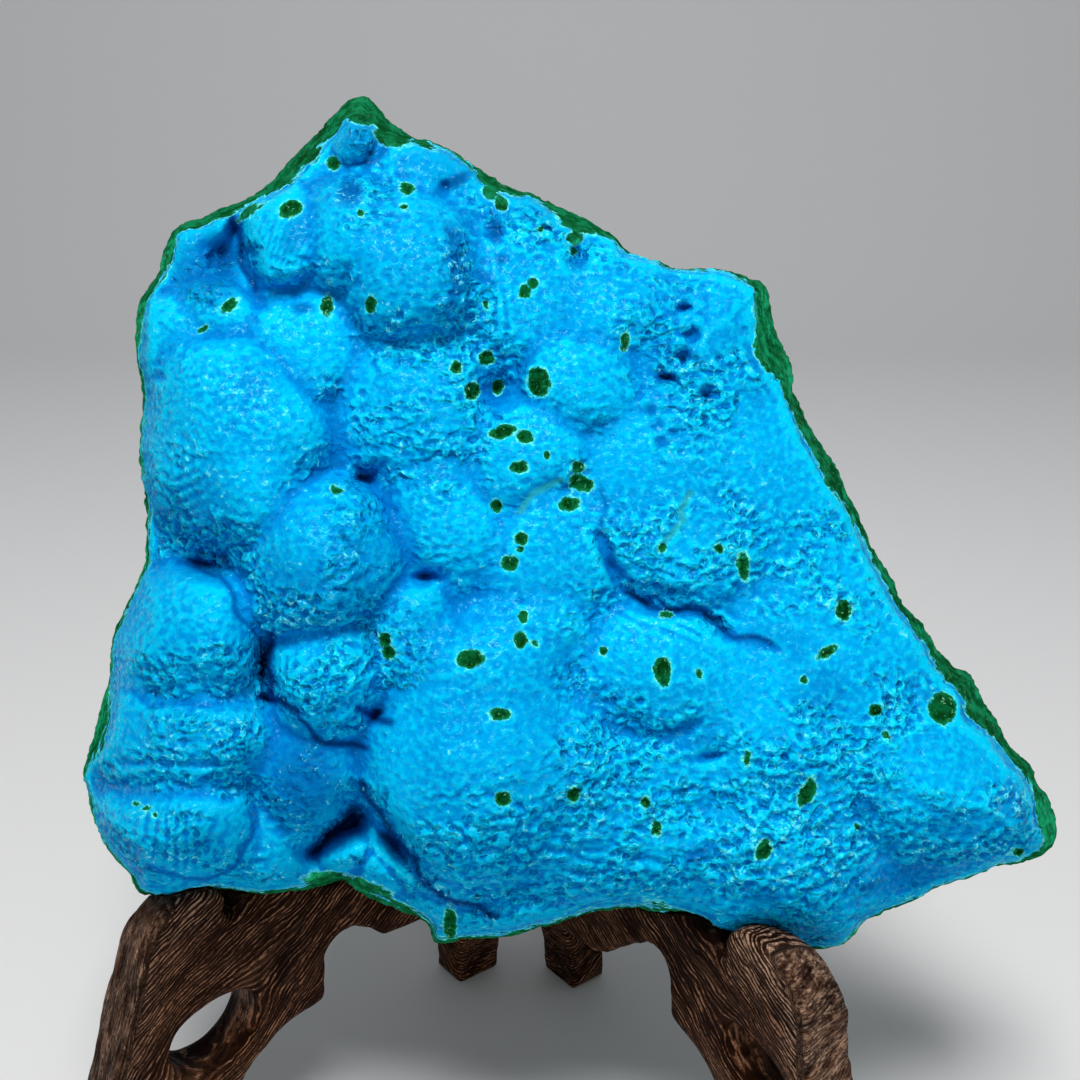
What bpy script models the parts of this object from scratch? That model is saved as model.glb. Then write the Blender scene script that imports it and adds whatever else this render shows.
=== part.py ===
"""A chrysocolla specimen, blue crust on green malachite, leaning on a carved stand of two crossed boards.

Sizes are real millimetres and scaled to metres as each mesh is made. +Z is up and the front faces -Y.
"""

import math

import bmesh
import bpy
import numpy as np
from mathutils import Matrix, Vector
from mathutils.geometry import delaunay_2d_cdt

MM = 0.001
GAP = 0.3  # left between the stone and the wood that it rests on

# ---- The stone ----
# Its tables lie in the plane of its edge, which leans back: u is to the right, v is up the slope
# and w is out of the front. The lobes close in towards the viewer, so a point at height w is
# drawn in by w / REACH of its distance from the middle.
LEAN = math.radians(20)
STONE_CENTRE = (-4.0, 8.9, 122.0)
REACH = 246.0

# The silhouette, clockwise from the peak: u, v and the width of bare green edge that shows.
OUTLINE = (
    (-35, 81.5, 3.5), (-32.5, 82, 4), (-31, 81.5, 4), (-29.5, 79, 3.5), (-26, 76, 2.5),
    (-23.5, 74.5, 0.6), (-19.5, 73.5, 0.4), (-15.5, 71.5, 0.4), (-12, 69, 0.5), (-9.5, 67.5, 2),
    (-5.5, 65, 1.5), (-1.5, 64, 0.6), (3.5, 61.5, 1.5), (8.5, 59.5, 2), (12.5, 57, 1),
    (15, 55, 0.5), (17, 52.5, 0.3), (20, 52.5, 0.2), (23.5, 50.5, 0.2), (28, 50, 0.2),
    (33.5, 50, 0.3), (38, 48.5, 0.6), (40, 48, 2), (41.5, 47, 2.2), (43, 41.5, 3),
    (44, 37.5, 3.6), (45.5, 34, 4), (47, 31.5, 3.8), (46.5, 28.5, 2), (48.5, 24, 2),
    (50.5, 20, 2.6), (53.5, 15.5, 2.8), (55.5, 12, 3), (57, 8.5, 1.6), (59, 4.5, 1.5),
    (61, -0.5, 1.5), (63.5, -4.5, 1.8), (65.5, -8, 2), (66.5, -11, 1.2), (70, -15, 1.8),
    (72.5, -18.5, 1.8), (74, -21.5, 2), (76, -23, 3.2), (79.5, -25, 4.2), (81, -27.5, 3.8),
    (82.5, -30.5, 4.4), (84.5, -33.5, 3.3), (86, -37, 1.8), (87.5, -39.5, 1.6), (90.5, -41, 2.5),
    (91, -42.5, 2.2), (92, -45, 1.8), (94.5, -48.5, 3.6), (95.5, -52, 4), (95.5, -54.5, 3),
    (94, -57.5, 1.8), (91, -59, 1), (88.5, -60, 0.8), (85.5, -60, 0.4), (79.5, -62.5, 0.3),
    (74, -64, 0.3), (70.5, -66, 0.3), (67, -67.5, 0.3), (63, -69, 0.3), (60, -70.5, 0.3),
    (58.5, -72.5, 0.3), (56.5, -74.5, 0.3), (53.5, -75.5, 0.3), (48, -75.5, 0.3), (42.5, -74.5, 0.3),
    (37, -73, 0.3), (33.5, -72.5, 0.3), (31, -71, 0.4), (28, -69.5, 0.6), (23, -69, 0.6),
    (17, -68, 0.6), (12.5, -68.5, 0.5), (8.5, -69, 0.5), (4.5, -70.5, 0.4), (0.5, -71.5, 0.4),
    (-3, -72.5, 0.5), (-7.5, -73.5, 0.6), (-15, -74, 0.8), (-18.5, -75, 0.8), (-20, -73.5, 0.8),
    (-20.5, -71, 0.6), (-23, -69.5, 0.6), (-25.5, -68.5, 0.7), (-29.5, -67, 0.9), (-32.5, -65.5, 1),
    (-35, -64, 1.3), (-37, -63, 1.5), (-40.5, -64, 1.3), (-45.5, -65, 1), (-50.5, -65.5, 0.6),
    (-54.5, -65, 0.3), (-58.5, -64.5, 0.3), (-63, -64.5, 0.3), (-69.5, -66, 0.3), (-72.5, -65.5, 0.4),
    (-75, -64.5, 0.8), (-76, -62, 0.8), (-79, -58.5, 0.3), (-81.5, -54.5, 0.3), (-83, -50.5, 0.3),
    (-83, -47.5, 0.3), (-84.5, -45.5, 0.3), (-84.5, -44, 0.4), (-84, -41, 0.8), (-83, -37.5, 1.2),
    (-81.5, -32, 1.5), (-80.5, -28.5, 1), (-79.5, -25.5, 0.3), (-79, -18.5, 0.3), (-76.5, -12.5, 0.5),
    (-74, -6.5, 0.6), (-73, -4, 0.6), (-73, 1.5, 0.5), (-72.5, 6, 0.4), (-73.5, 10.5, 0.3),
    (-74, 17.5, 0.3), (-73.5, 26, 0.6), (-74.5, 32.5, 0.7), (-74.5, 36.5, 0.8), (-74.5, 41.5, 1.2),
    (-73.5, 45, 1.4), (-71, 48.5, 1), (-70, 51.5, 2), (-69, 55, 2), (-67, 58.5, 1.8),
    (-63, 59, 1.5), (-60, 60.5, 1.5), (-57, 62, 1.8), (-52.5, 64, 1.2), (-48.5, 67.5, 3),
    (-45, 71.5, 3.5), (-40.5, 76, 3), (-37.5, 79.5, 3),
)

# The crust's lobes: centre u and v, half width, half height, turn, how far each stands out,
# and how softly it runs into the lobes before it.
LOBES = (
    # the peak and the upper left
    (-33.5, 74.5, 4.5, 4.5, 0, 4, 1), (-47.5, 58, 8.5, 9.5, -15, 8, 1.2), (-35, 56, 10.5, 11.5, 20, 10, 2),
    (-24.5, 50.5, 13.5, 15, 0, 11.5, 3), (-59, 42, 8, 6, 0, 5, 1), (-69, 36, 9, 8, 0, 6, 1.5),
    (-57, 18, 17.5, 20, 0, 14.5, 2), (-63, 24, 11.5, 13.5, 0, 13.5, 4), (-53.5, 9, 12, 13, 0, 14, 4),
    (-44.5, 35, 11, 10.5, 0, 6.5, 2), (-23, 23, 15, 16, 0, 6, 2.5), (-42, -3.5, 16.5, 16.5, 0, 16, 1.2),
    # down the left side
    (-65.5, -18, 15.5, 14.5, 0, 15.5, 1.2), (-66.5, -36, 17.5, 14, 0, 13.5, 4), (-67.5, -53.5, 17, 12, 0, 14, 3),
    (-39.5, -26.5, 11.5, 13.5, 0, 13, 1.5), (-44, -42, 10.5, 11.5, 0, 9, 1.2), (-52.5, -56.5, 10.5, 9, 0, 6, 1.5),
    (-43.5, -54, 4.5, 3.5, 0, 4.5, 1), (-24.5, -17.5, 9, 12, 0, 8.5, 2), (-17.5, 2, 10.5, 14, 0, 7, 2.5),
    # the middle
    (-2.5, 15, 11, 11.5, 0, 6, 1.8), (6.5, 29, 11, 10, 0, 6, 1.2), (15.5, 44, 11.5, 10.5, 0, 5, 2),
    (32.5, 39, 13.5, 15.5, 0, 3.5, 2), (30.5, 12, 24, 20.5, 0, 4, 3), (26, -1, 18, 12.5, 0, 5, 1.5),
    (23.5, -24.5, 17.5, 13, 0, 7, 2), (18, -44.5, 16.5, 12, 0, 6.5, 4), (-14, -46, 20.5, 22, 0, 16.5, 1.5),
    (1, -46, 16.5, 19.5, 0, 11, 5), (-11, -28, 18.5, 15.5, 0, 12, 5), (-3.5, -18.5, 13, 11, 0, 8, 4),
    (1.5, -4, 15, 13, 0, 6, 2.5),
    # small lumps and a foot under the largest lobe
    (-35, -57.5, 4.5, 5, 0, 5, 1), (-28.5, -61.5, 5, 4.5, 0, 4.5, 1),
    (-20, -66.5, 5.5, 5, 0, 4.5, 1), (-6.5, -69.5, 14, 5, 0, 5, 1),
    # the broad, low right side
    (76, -45.5, 19.5, 15.5, 0, 7, 3), (57.5, -18.5, 22, 20, 0, 5, 3), (46, -39, 23, 20, 0, 6.5, 4),
    (42.5, -61.5, 22.5, 16.5, 0, 8.5, 3), (15, -57.5, 21.5, 13, 0, 9, 4), (-7.5, 53.5, 14, 15, 0, 4, 2.5),
    (-1, 44.5, 10.5, 10, 0, 3.5, 2), (-18.5, 68.5, 10.5, 8, 0, 4, 1.5), (48, 7.5, 15, 20.5, 0, 3, 3),
)

# Hollows: centre u and v, half width, half height, turn and depth.
HOLLOWS = (
    (-36, -53, 6.5, 4, 35, 12), (-26.5, -57.5, 8, 3, -38, 9), (-41, -56.5, 3.5, 3, 0, 5),
    (-57.5, 56, 2.5, 4, 0, 5), (-59, 51.5, 5.5, 4, 0, 5), (-62.5, -5, 5, 2, -12, 6),
    (-50.5, -22, 1.5, 5, 0, 4.5), (-49.5, -29, 2.5, 1.5, 0, 3), (-30.5, -32.5, 2.5, 1.5, 0, 4),
    (-31.5, 11.5, 3, 2, 20, 4), (-22, -7.5, 3.5, 1.5, 0, 3), (-9, 28.5, 4, 5, 0, 3.5),
    (27, 43, 1.5, 1.5, 0, 2.2), (28.5, 38.5, 1.5, 1.5, 0, 2.2), (26.5, 34.5, 2.5, 1.5, 0, 2.4),
    (23.5, 30.5, 3, 1.5, 0, 2.6), (30.5, 27, 2, 2, 0, 2.4), (6.5, 52, 2, 2.5, 0, 2.4),
    (47, -77, 14, 6, 0, 11),
)

# Creases: the points that each runs through, its half width and its depth.
CREASES = (
    (((13.5, -5), (14.5, -8), (18.5, -11), (24, -12), (29.5, -12), (34.5, -15), (41.5, -19), (46, -20.5)), 1.7, 2.6),
    (((-54, 53.5), (-52, 48.5), (-50.5, 45)), 1.3, 3),
    (((13.5, -35), (20.5, -36), (28, -33.5)), 1.5, 1.5),
    (((-72, -29), (-65, -30.5), (-55.5, -29.5)), 1.8, 1.2),
    (((-77.5, -46.5), (-68.5, -45.5), (-57.5, -48)), 1.8, 1.2),
)

EDGE_SHEET = 8.0  # the crust's height at its edge, and how much it gains further in
INNER_SHEET = 10.0
SHEET_RUN = 15.0
SHOULDER = 9.5  # how steeply the crust rolls up from the edge
THIN_LIP = 3.0  # height of the bare side in front of the silhouette, thin or wide
WIDE_LIP = 8.0
DOME_REACH = 0.93  # share of a lobe that is round before its flank runs straight down

# The sides: each row's w, how far it is set in, and how many times its corners are worn down.
BACK = -12.5
SIDE_ROWS = ((-4.5, 0.5, 2), (-9.0, 1.8, 6), (BACK, 4.0, 12))
SIDE_WAVES = 0.9
# The rough back is broken along a few planes: how each slopes along u and v, and where it stands at
# the stone's middle.
FACETS = ((0.035, 0.05, -15.2), (-0.05, 0.03, -15.0), (0.02, -0.06, -14.6), (0.09, -0.02, -13.8), (-0.09, -0.04, -13.2))
BACK_WAVES = 0.7
OUTLINE_STEP = 3.0
FRONT_STEP = 3.4
BACK_STEP = 6.2

# ---- The stand ----
# s runs back from each board's hook and z is up. Each run is smooth, and the runs meet in the
# corners of the soles. The boards share an outline, but for the front of the hook and the arch
# behind the front leg.
LEFT_HOOK = ((-22, 0), (-20.5, 14), (-16, 32), (-11, 47), (-8, 57), (-3, 63.8))
RIGHT_HOOK = ((-22, 0), (-20.5, 14), (-16.4, 30), (-12.8, 43), (-11.4, 50), (-10.8, 56), (-8, 60.8), (-3.5, 64.3))
OVER = (
    (2.5, 65.3), (6.5, 63.8), (8.2, 61), (8, 58.4), (9.8, 57.2), (13, 58.8), (17, 61), (24, 59), (33, 55.5),
    (40, 57), (50, 78), (60, 99), (70.5, 119), (79, 134), (84, 138.5), (88.5, 137), (91, 130), (91, 115),
    (93, 95), (96, 70), (99, 45), (100.5, 20), (100.5, 0),
)
SOLE_REAR = ((100.5, 0), (91.5, 0))
REAR_ARCH = ((91.5, 0), (90.5, 9), (87.5, 20), (82, 30), (74, 35.5), (62, 37), (50, 37.4), (44, 37.6))
LEFT_ARCH = (
    (41, 38.2), (37.5, 41.4), (34.3, 43.2), (30.4, 42.2), (27.8, 38.7), (27.3, 31), (25.5, 29), (18.6, 27.4),
    (14, 24.9), (10.7, 22.3), (7.3, 17), (4.5, 10), (3, 4), (2.5, 0),
)
RIGHT_ARCH = (
    (41, 38.6), (38, 40.6), (35.8, 42.8), (32, 45.8), (27.6, 48.8), (24.5, 49), (22.3, 46.6), (21.2, 41.6),
    (20.6, 37.2), (17.1, 35.1), (13.4, 33.6), (9.8, 30.9), (6.3, 26.5), (3, 20), (0, 12), (-3, 5), (-4.5, 0),
)
PROFILE_STEP = 3.8
THICKNESS = 12.5
ROUNDING = 1.8

# The top of each hook slopes down to its outer face.
HOOK_END = 9.0
HOOK_FOOT = 44.0
HOOK_TOP = 65.3
HOOK_FALL = 5.0

# The slanting hole in each front leg: its middle's s and z, its half length and its half width.
LEFT_HOLE = (4.0, 32.8, 9.5, 7.5)
RIGHT_HOLE = (-2.0, 38.5, 10.5, 5.0)
HOLE_TURN = math.radians(36)
HOLE_TAPER = 0.15  # how much narrower it is towards its upper end
HOLE_POINTS = 20

LEFT_CROSS_AT = 77.2  # along each board's s, where the two cross
RIGHT_CROSS_AT = 78.6
HALF_LAP = 84.0  # height where one board's slot ends and the other's begins
STAND_CENTRE = (-10.7, 30.9)
STAND_TURN = -7.0  # the stand isn't quite square to the stone


# ---- Shapes ----
def through(points, step, closed):
    """Points at about every step along a smooth curve that passes through the given ones."""
    points = np.array(points, float)
    count = len(points)
    laps = count if closed else count - 1
    curve = []
    for i in range(laps):
        if closed:
            a, b, c, d = (points[(i + k) % count] for k in (-1, 0, 1, 2))
        else:
            a, b, c, d = (points[min(max(i + k, 0), count - 1)] for k in (-1, 0, 1, 2))
        for t in np.linspace(0, 1, 12, endpoint=False):
            curve.append(
                b + (c - a) * t / 2 + (2 * a - 5 * b + 4 * c - d) * t * t / 2 + (3 * b - a - 3 * c + d) * t**3 / 2
            )
    curve.append(points[0] if closed else points[-1])
    curve = np.array(curve)
    run = np.r_[0, np.cumsum(np.hypot(*np.diff(curve[:, :2], axis=0).T))]
    pieces = max(2, round(run[-1] / step))
    stations = np.linspace(0, run[-1], pieces + 1)[:-1]
    return np.stack([np.interp(stations, run, column) for column in curve.T], axis=1)


def from_edge(u, v, outline):
    """Each point's distance from the silhouette, and the bare width of the edge nearest to it."""
    nearest = np.full(u.shape, np.inf)
    bare = np.zeros(u.shape)
    for start, end in zip(outline, np.roll(outline, -1, axis=0)):
        along = end[:2] - start[:2]
        t = np.clip(((u - start[0]) * along[0] + (v - start[1]) * along[1]) / (along @ along), 0, 1)
        away = np.hypot(u - start[0] - t * along[0], v - start[1] - t * along[1])
        closer = away < nearest
        nearest = np.where(closer, away, nearest)
        bare = np.where(closer, start[2] + (end[2] - start[2]) * t, bare)
    return nearest, bare


def soft_max(a, b, blend):
    """The larger of the two, rounded off where they are within blend of each other."""
    near = np.clip(blend - np.abs(a - b), 0, None) / blend
    return np.maximum(a, b) + near * near * blend / 4


def turned(u, v, centre_u, centre_v, half_u, half_v, turn):
    """Distance from an ellipse's centre, as a share of its radius."""
    c, s = math.cos(math.radians(turn)), math.sin(math.radians(turn))
    across, up = u - centre_u, v - centre_v
    return np.hypot((across * c + up * s) / half_u, (up * c - across * s) / half_v)


def from_line(u, v, points):
    """Distance from a line through the points."""
    nearest = np.full(u.shape, np.inf)
    for start, end in zip(np.array(points, float), np.array(points[1:], float)):
        along = end - start
        t = np.clip(((u - start[0]) * along[0] + (v - start[1]) * along[1]) / (along @ along), 0, 1)
        nearest = np.minimum(nearest, np.hypot(u - start[0] - t * along[0], v - start[1] - t * along[1]))
    return nearest


def wandered(u, v):
    """The positions moved a little to and fro, which takes the lobes out of true ellipses."""
    moved_u = u + 0.9 * np.sin(v / 5.1 + 0.6 * np.sin(u / 7.3)) + 0.5 * np.sin(u / 3.7 + v / 4.9)
    moved_v = v - 0.9 * np.sin(u / 5.7 + 0.8 * np.sin(v / 6.1)) - 0.5 * np.sin(v / 3.3 - u / 5.3)
    return moved_u, moved_v


def front_height(u, v, outline):
    """Height of the stone's front above the plane of its edge."""
    inside, bare = from_edge(u, v, outline)
    lobe_u, lobe_v = wandered(u, v)
    knee = math.sqrt(1 - DOME_REACH**2)
    height = np.zeros(u.shape)
    for *ellipse, stands_out, blend in LOBES:
        r = turned(lobe_u, lobe_v, *ellipse)
        dome = np.where(r < DOME_REACH, np.sqrt(np.clip(1 - r * r, 0, None)), knee - DOME_REACH / knee * (r - DOME_REACH))
        height = soft_max(height, stands_out * dome, blend)
    height = height + EDGE_SHEET + INNER_SHEET * (1 - np.exp(-inside / SHEET_RUN))
    for *ellipse, depth in HOLLOWS:
        height = height - depth * np.exp(-1.5 * turned(lobe_u, lobe_v, *ellipse) ** 2)
    for points, half_width, depth in CREASES:
        height = height - depth * np.exp(-((from_line(lobe_u, lobe_v, points) / half_width) ** 2))
    lip = THIN_LIP + (WIDE_LIP - THIN_LIP) * np.clip((bare - 0.4) / 2, 0, 1)
    roll = lip + SHOULDER * np.sqrt(np.clip(inside - bare, 0, None))
    limit = np.where(inside < bare, lip * inside / np.maximum(bare, 0.05), roll)
    return np.maximum(-soft_max(-height, -limit, 1.0), 0)


def back_height(u, v, inset):
    """Height of the broken back, which comes back to one level at its rim."""
    broken = np.max([lie_u * u + lie_v * v + middle for lie_u, lie_v, middle in FACETS], axis=0)
    broken = broken + BACK_WAVES * (np.sin(u / 4.7 + 1.3 * np.sin(v / 8)) + 0.6 * np.sin(v / 3.9 - u / 11))
    return BACK + (broken - BACK) * (1 - np.exp(-inset / 5))


def side_row(outline, w, distance, wearing):
    """One row of points round the side, worn rounder than the silhouette and a little uneven."""
    worn = outline.copy()
    for _ in range(wearing):
        worn = (np.roll(worn, 1, axis=0) + 2 * worn + np.roll(worn, -1, axis=0)) / 4
    u, v = worn[:, 0], worn[:, 1]
    uneven = SIDE_WAVES * np.sin(u / 6 + w) * np.sin(v / 5 - w / 2)
    return set_in(worn, distance + uneven)


def set_in(outline, distance):
    """The outline moved inwards, along normals that are evened out so that it can't cross itself."""
    points = outline[:, :2]
    along = sum(np.roll(points, -k, axis=0) - np.roll(points, k, axis=0) for k in (1, 2, 3))
    along /= np.hypot(*along.T)[:, None]
    return points + np.stack([along[:, 1], -along[:, 0]], axis=1) * np.reshape(distance, (-1, 1))


def placed(points, height):
    """World positions, in millimetres, of points in the stone's tilted frame."""
    scale = 1 - np.maximum(height, 0) / REACH
    u, v = points[:, 0] * scale, points[:, 1] * scale
    x = STONE_CENTRE[0] + u
    y = STONE_CENTRE[1] + v * math.sin(LEAN) - height * math.cos(LEAN)
    z = STONE_CENTRE[2] + v * math.cos(LEAN) + height * math.sin(LEAN)
    return np.stack([x, y, z], axis=1)


def honeycomb(outline, step):
    """Points in rows set half a step apart, over the outline's box."""
    low, high = outline[:, :2].min(axis=0), outline[:, :2].max(axis=0)
    rows = np.arange(low[1], high[1], step * math.sqrt(3) / 2)
    points = [
        (u, v) for i, v in enumerate(rows) for u in np.arange(low[0] + step / 2 * (i % 2), high[0], step)
    ]
    return np.array(points)


def filled(rim, inner):
    """The points and triangles of a flat sheet inside the rim, which comes first in the points."""
    count = len(rim)
    points = [Vector(p) for p in np.concatenate([rim, inner])]
    edges = [(i, (i + 1) % count) for i in range(count)]
    found, _, faces, *_ = delaunay_2d_cdt(points, edges, [], 1, 1e-4)
    return np.array(found)[:, :2], faces


def is_inside(points, rim):
    """Whether each point lies within the closed rim."""
    odd = np.zeros(len(points), bool)
    for (u0, v0), (u1, v1) in zip(rim, np.roll(rim, -1, axis=0)):
        if v0 == v1:
            continue
        spans = (v0 > points[:, 1]) != (v1 > points[:, 1])
        odd ^= spans & (points[:, 0] < (u1 - u0) * (points[:, 1] - v0) / (v1 - v0) + u0)
    return odd


def specimen_mesh():
    """The stone as one closed body: the lobed front, the sides and the back."""
    outline = through(OUTLINE, OUTLINE_STEP, closed=True)
    count = len(outline)
    rim = outline[:, :2]

    brow = set_in(outline, np.maximum(outline[:, 2], 0.9))
    grid = honeycomb(outline, FRONT_STEP)
    grid = grid[is_inside(grid, rim)]
    inside, bare = from_edge(grid[:, 0], grid[:, 1], outline)
    grid = grid[inside > np.maximum(bare, 0.9) + FRONT_STEP * 0.55]
    front, front_faces = filled(rim, np.concatenate([brow, grid]))
    front_w = front_height(front[:, 0], front[:, 1], outline)
    front_w[:count] = 0

    rows = [(side_row(outline, *row), row[0]) for row in SIDE_ROWS]
    last_row = rows[-1][0]
    grid = honeycomb(outline, BACK_STEP)
    grid = grid[is_inside(grid, last_row)]
    closed_row = np.column_stack([last_row, np.zeros(count)])
    grid = grid[from_edge(grid[:, 0], grid[:, 1], closed_row)[0] > BACK_STEP * 0.5]
    back, back_faces = filled(last_row, grid)
    inset, _ = from_edge(back[:, 0], back[:, 1], closed_row)
    inset[:count] = 0
    back_w = back_height(back[:, 0], back[:, 1], inset)

    mesh = bmesh.new()
    front_points = [mesh.verts.new(p * MM) for p in placed(front, front_w)]
    row_points = [[mesh.verts.new(p * MM) for p in placed(row, np.full(count, w))] for row, w in rows]
    back_points = row_points[-1] + [mesh.verts.new(p * MM) for p in placed(back, back_w)[count:]]
    for face in front_faces:
        mesh.faces.new([front_points[i] for i in face])
    for upper, lower in zip([front_points[:count]] + row_points, row_points):
        for i in range(count):
            j = (i + 1) % count
            mesh.faces.new([upper[i], upper[j], lower[j], lower[i]])
    for face in back_faces:
        mesh.faces.new([back_points[i] for i in face])
    bmesh.ops.recalc_face_normals(mesh, faces=mesh.faces)
    return mesh


def prism(outline, thickness):
    """A closed body with this outline in s and z, centred on the plane across it."""
    mesh = bmesh.new()
    face = mesh.faces.new([mesh.verts.new((s * MM, -thickness / 2 * MM, z * MM)) for s, z in outline])
    swept = bmesh.ops.extrude_face_region(mesh, geom=[face])["geom"]
    far = [item for item in swept if isinstance(item, bmesh.types.BMVert)]
    bmesh.ops.translate(mesh, verts=far, vec=(0, thickness * MM, 0))
    bmesh.ops.recalc_face_normals(mesh, faces=mesh.faces)
    return mesh


def board_mesh(hook, arch, outer):
    """One board, with its long edges rounded over. Its outer face looks along +Y or -Y, as outer says."""
    runs = ((arch[-1], hook[0]), hook + OVER, SOLE_REAR, REAR_ARCH + arch)
    mesh = prism(np.concatenate([through(run, PROFILE_STEP, closed=False) for run in runs]), THICKNESS)
    caps = [face for face in mesh.faces if len(face.verts) > 4]
    rims = {edge for face in caps for edge in face.edges}
    bmesh.ops.bevel(mesh, geom=list(rims), offset=ROUNDING * MM, segments=2, profile=0.5, affect="EDGES")
    for vert in mesh.verts:
        s, across, z = vert.co / MM
        if s < HOOK_END and z > HOOK_FOOT:
            outward = 0.5 + outer * across / THICKNESS
            vert.co.z -= HOOK_FALL * outward**2 * (z - HOOK_FOOT) / (HOOK_TOP - HOOK_FOOT) * MM
    return mesh


def hole_mesh(middle_s, middle_z, half_length, half_width):
    """The cutter of the slanting hole in a board's front leg."""
    outline = []
    for t in np.linspace(0, math.tau, HOLE_POINTS, endpoint=False):
        along = half_length * math.cos(t)
        across = half_width * math.sin(t) * (1 - HOLE_TAPER * math.cos(t))
        s = middle_s + along * math.cos(HOLE_TURN) - across * math.sin(HOLE_TURN)
        z = middle_z + along * math.sin(HOLE_TURN) + across * math.cos(HOLE_TURN)
        outline.append((s, z))
    return prism(outline, THICKNESS * 2)


def slot_mesh(cross_at, low, high):
    """The cutter of the slot where the other board passes, from one height to another."""
    near, far = cross_at - THICKNESS / 2 - GAP, cross_at + THICKNESS / 2 + GAP
    return prism([(near, low), (far, low), (far, high), (near, high)], THICKNESS * 2)


# ---- Objects ----
def material(name, colour, roughness):
    made = bpy.data.materials.new(name)
    made.use_nodes = True
    shader = made.node_tree.nodes["Principled BSDF"]
    shader.inputs["Base Color"].default_value = (*colour, 1)
    shader.inputs["Roughness"].default_value = roughness
    return made


def add_object(name, mesh, surface=None):
    data = bpy.data.meshes.new(name)
    mesh.to_mesh(data)
    mesh.free()
    made = bpy.data.objects.new(name, data)
    bpy.context.collection.objects.link(made)
    if surface:
        data.materials.append(surface)
    return made


def add_cutter(name, mesh):
    cutter = add_object(name, mesh)
    cutter.display_type = "WIRE"
    cutter.hide_render = True
    return cutter


def cut(target, cutter):
    boolean = target.modifiers.new(cutter.name, "BOOLEAN")
    boolean.operation = "DIFFERENCE"
    boolean.solver = "EXACT"
    boolean.object = cutter


def seat_mesh():
    """The stone grown by the gap, which cuts its seat into the boards."""
    mesh = specimen_mesh()
    moved = [vert.co + vert.normal * GAP * MM for vert in mesh.verts]
    for vert, place in zip(mesh.verts, moved):
        vert.co = place
    return mesh


def board(name, angle, cross_at, hook, arch, hole, outer, slot, surface, seat):
    """A board set at this angle round the place where the two cross."""
    made = add_object(name, board_mesh(hook, arch, outer), surface)
    place = Matrix.Translation((STAND_CENTRE[0] * MM, STAND_CENTRE[1] * MM, 0))
    place = place @ Matrix.Rotation(math.radians(angle + STAND_TURN), 4, "Z")
    place = place @ Matrix.Translation((-cross_at * MM, 0, 0))
    made.matrix_world = place
    for kind, mesh in (("hole", hole_mesh(*hole)), ("slot", slot_mesh(cross_at, *slot))):
        cutter = add_cutter(f"{name}_{kind}", mesh)
        cutter.matrix_world = place
        cut(made, cutter)
    cut(made, seat)
    return made


def build():
    for old in list(bpy.data.objects):
        bpy.data.objects.remove(old)
    crust = material("blue crust on green stone", (0.0, 0.35, 0.78), 0.45)
    wood = material("dark carved wood", (0.06, 0.035, 0.022), 0.5)
    add_object("specimen", specimen_mesh(), crust)
    seat = add_cutter("seat", seat_mesh())
    low, high = (-10, HALF_LAP + GAP), (HALF_LAP, 200)
    board("stand_left_board", 45, LEFT_CROSS_AT, LEFT_HOOK, LEFT_ARCH, LEFT_HOLE, 1, high, wood, seat)
    board("stand_right_board", 135, RIGHT_CROSS_AT, RIGHT_HOOK, RIGHT_ARCH, RIGHT_HOLE, -1, low, wood, seat)


build()
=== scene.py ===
"""A chrysocolla specimen leaning on its carved stand: the crust's relief and colours, the worn green
spots and edge, and the ribbed grain of the wood.

Sizes are real millimetres and scaled to metres as each mesh is made. +Z is up and the front faces -Y.
"""

import math

import bmesh
import bpy
import numpy as np
from mathutils import Matrix, Vector, noise
from mathutils.geometry import delaunay_2d_cdt
from mathutils.kdtree import KDTree


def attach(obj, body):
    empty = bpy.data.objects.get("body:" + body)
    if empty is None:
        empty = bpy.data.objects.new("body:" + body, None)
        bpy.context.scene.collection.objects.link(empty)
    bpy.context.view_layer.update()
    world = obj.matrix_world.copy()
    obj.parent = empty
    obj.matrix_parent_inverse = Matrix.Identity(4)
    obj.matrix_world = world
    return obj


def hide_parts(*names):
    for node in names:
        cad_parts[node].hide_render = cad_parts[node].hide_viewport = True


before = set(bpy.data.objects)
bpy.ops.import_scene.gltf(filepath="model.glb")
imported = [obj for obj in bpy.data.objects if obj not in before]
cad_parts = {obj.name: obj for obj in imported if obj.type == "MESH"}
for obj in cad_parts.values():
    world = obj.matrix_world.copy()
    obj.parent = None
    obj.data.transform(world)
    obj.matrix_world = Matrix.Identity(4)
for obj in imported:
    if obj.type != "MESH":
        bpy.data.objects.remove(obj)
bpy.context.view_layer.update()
MM = 0.001

# ---- The stone ----
# Its tables lie in the plane of its edge, which leans back: u is to the right, v is up the slope
# and w is out of the front. The lobes close in towards the viewer, so a point at height w is
# drawn in by w / REACH of its distance from the middle. A turn is in degrees, anticlockwise, and a
# row that leaves it out isn't turned.
LEAN = math.radians(20)
STONE_CENTRE = (-4.0, 8.9, 122.0)
REACH = 246.0

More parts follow.
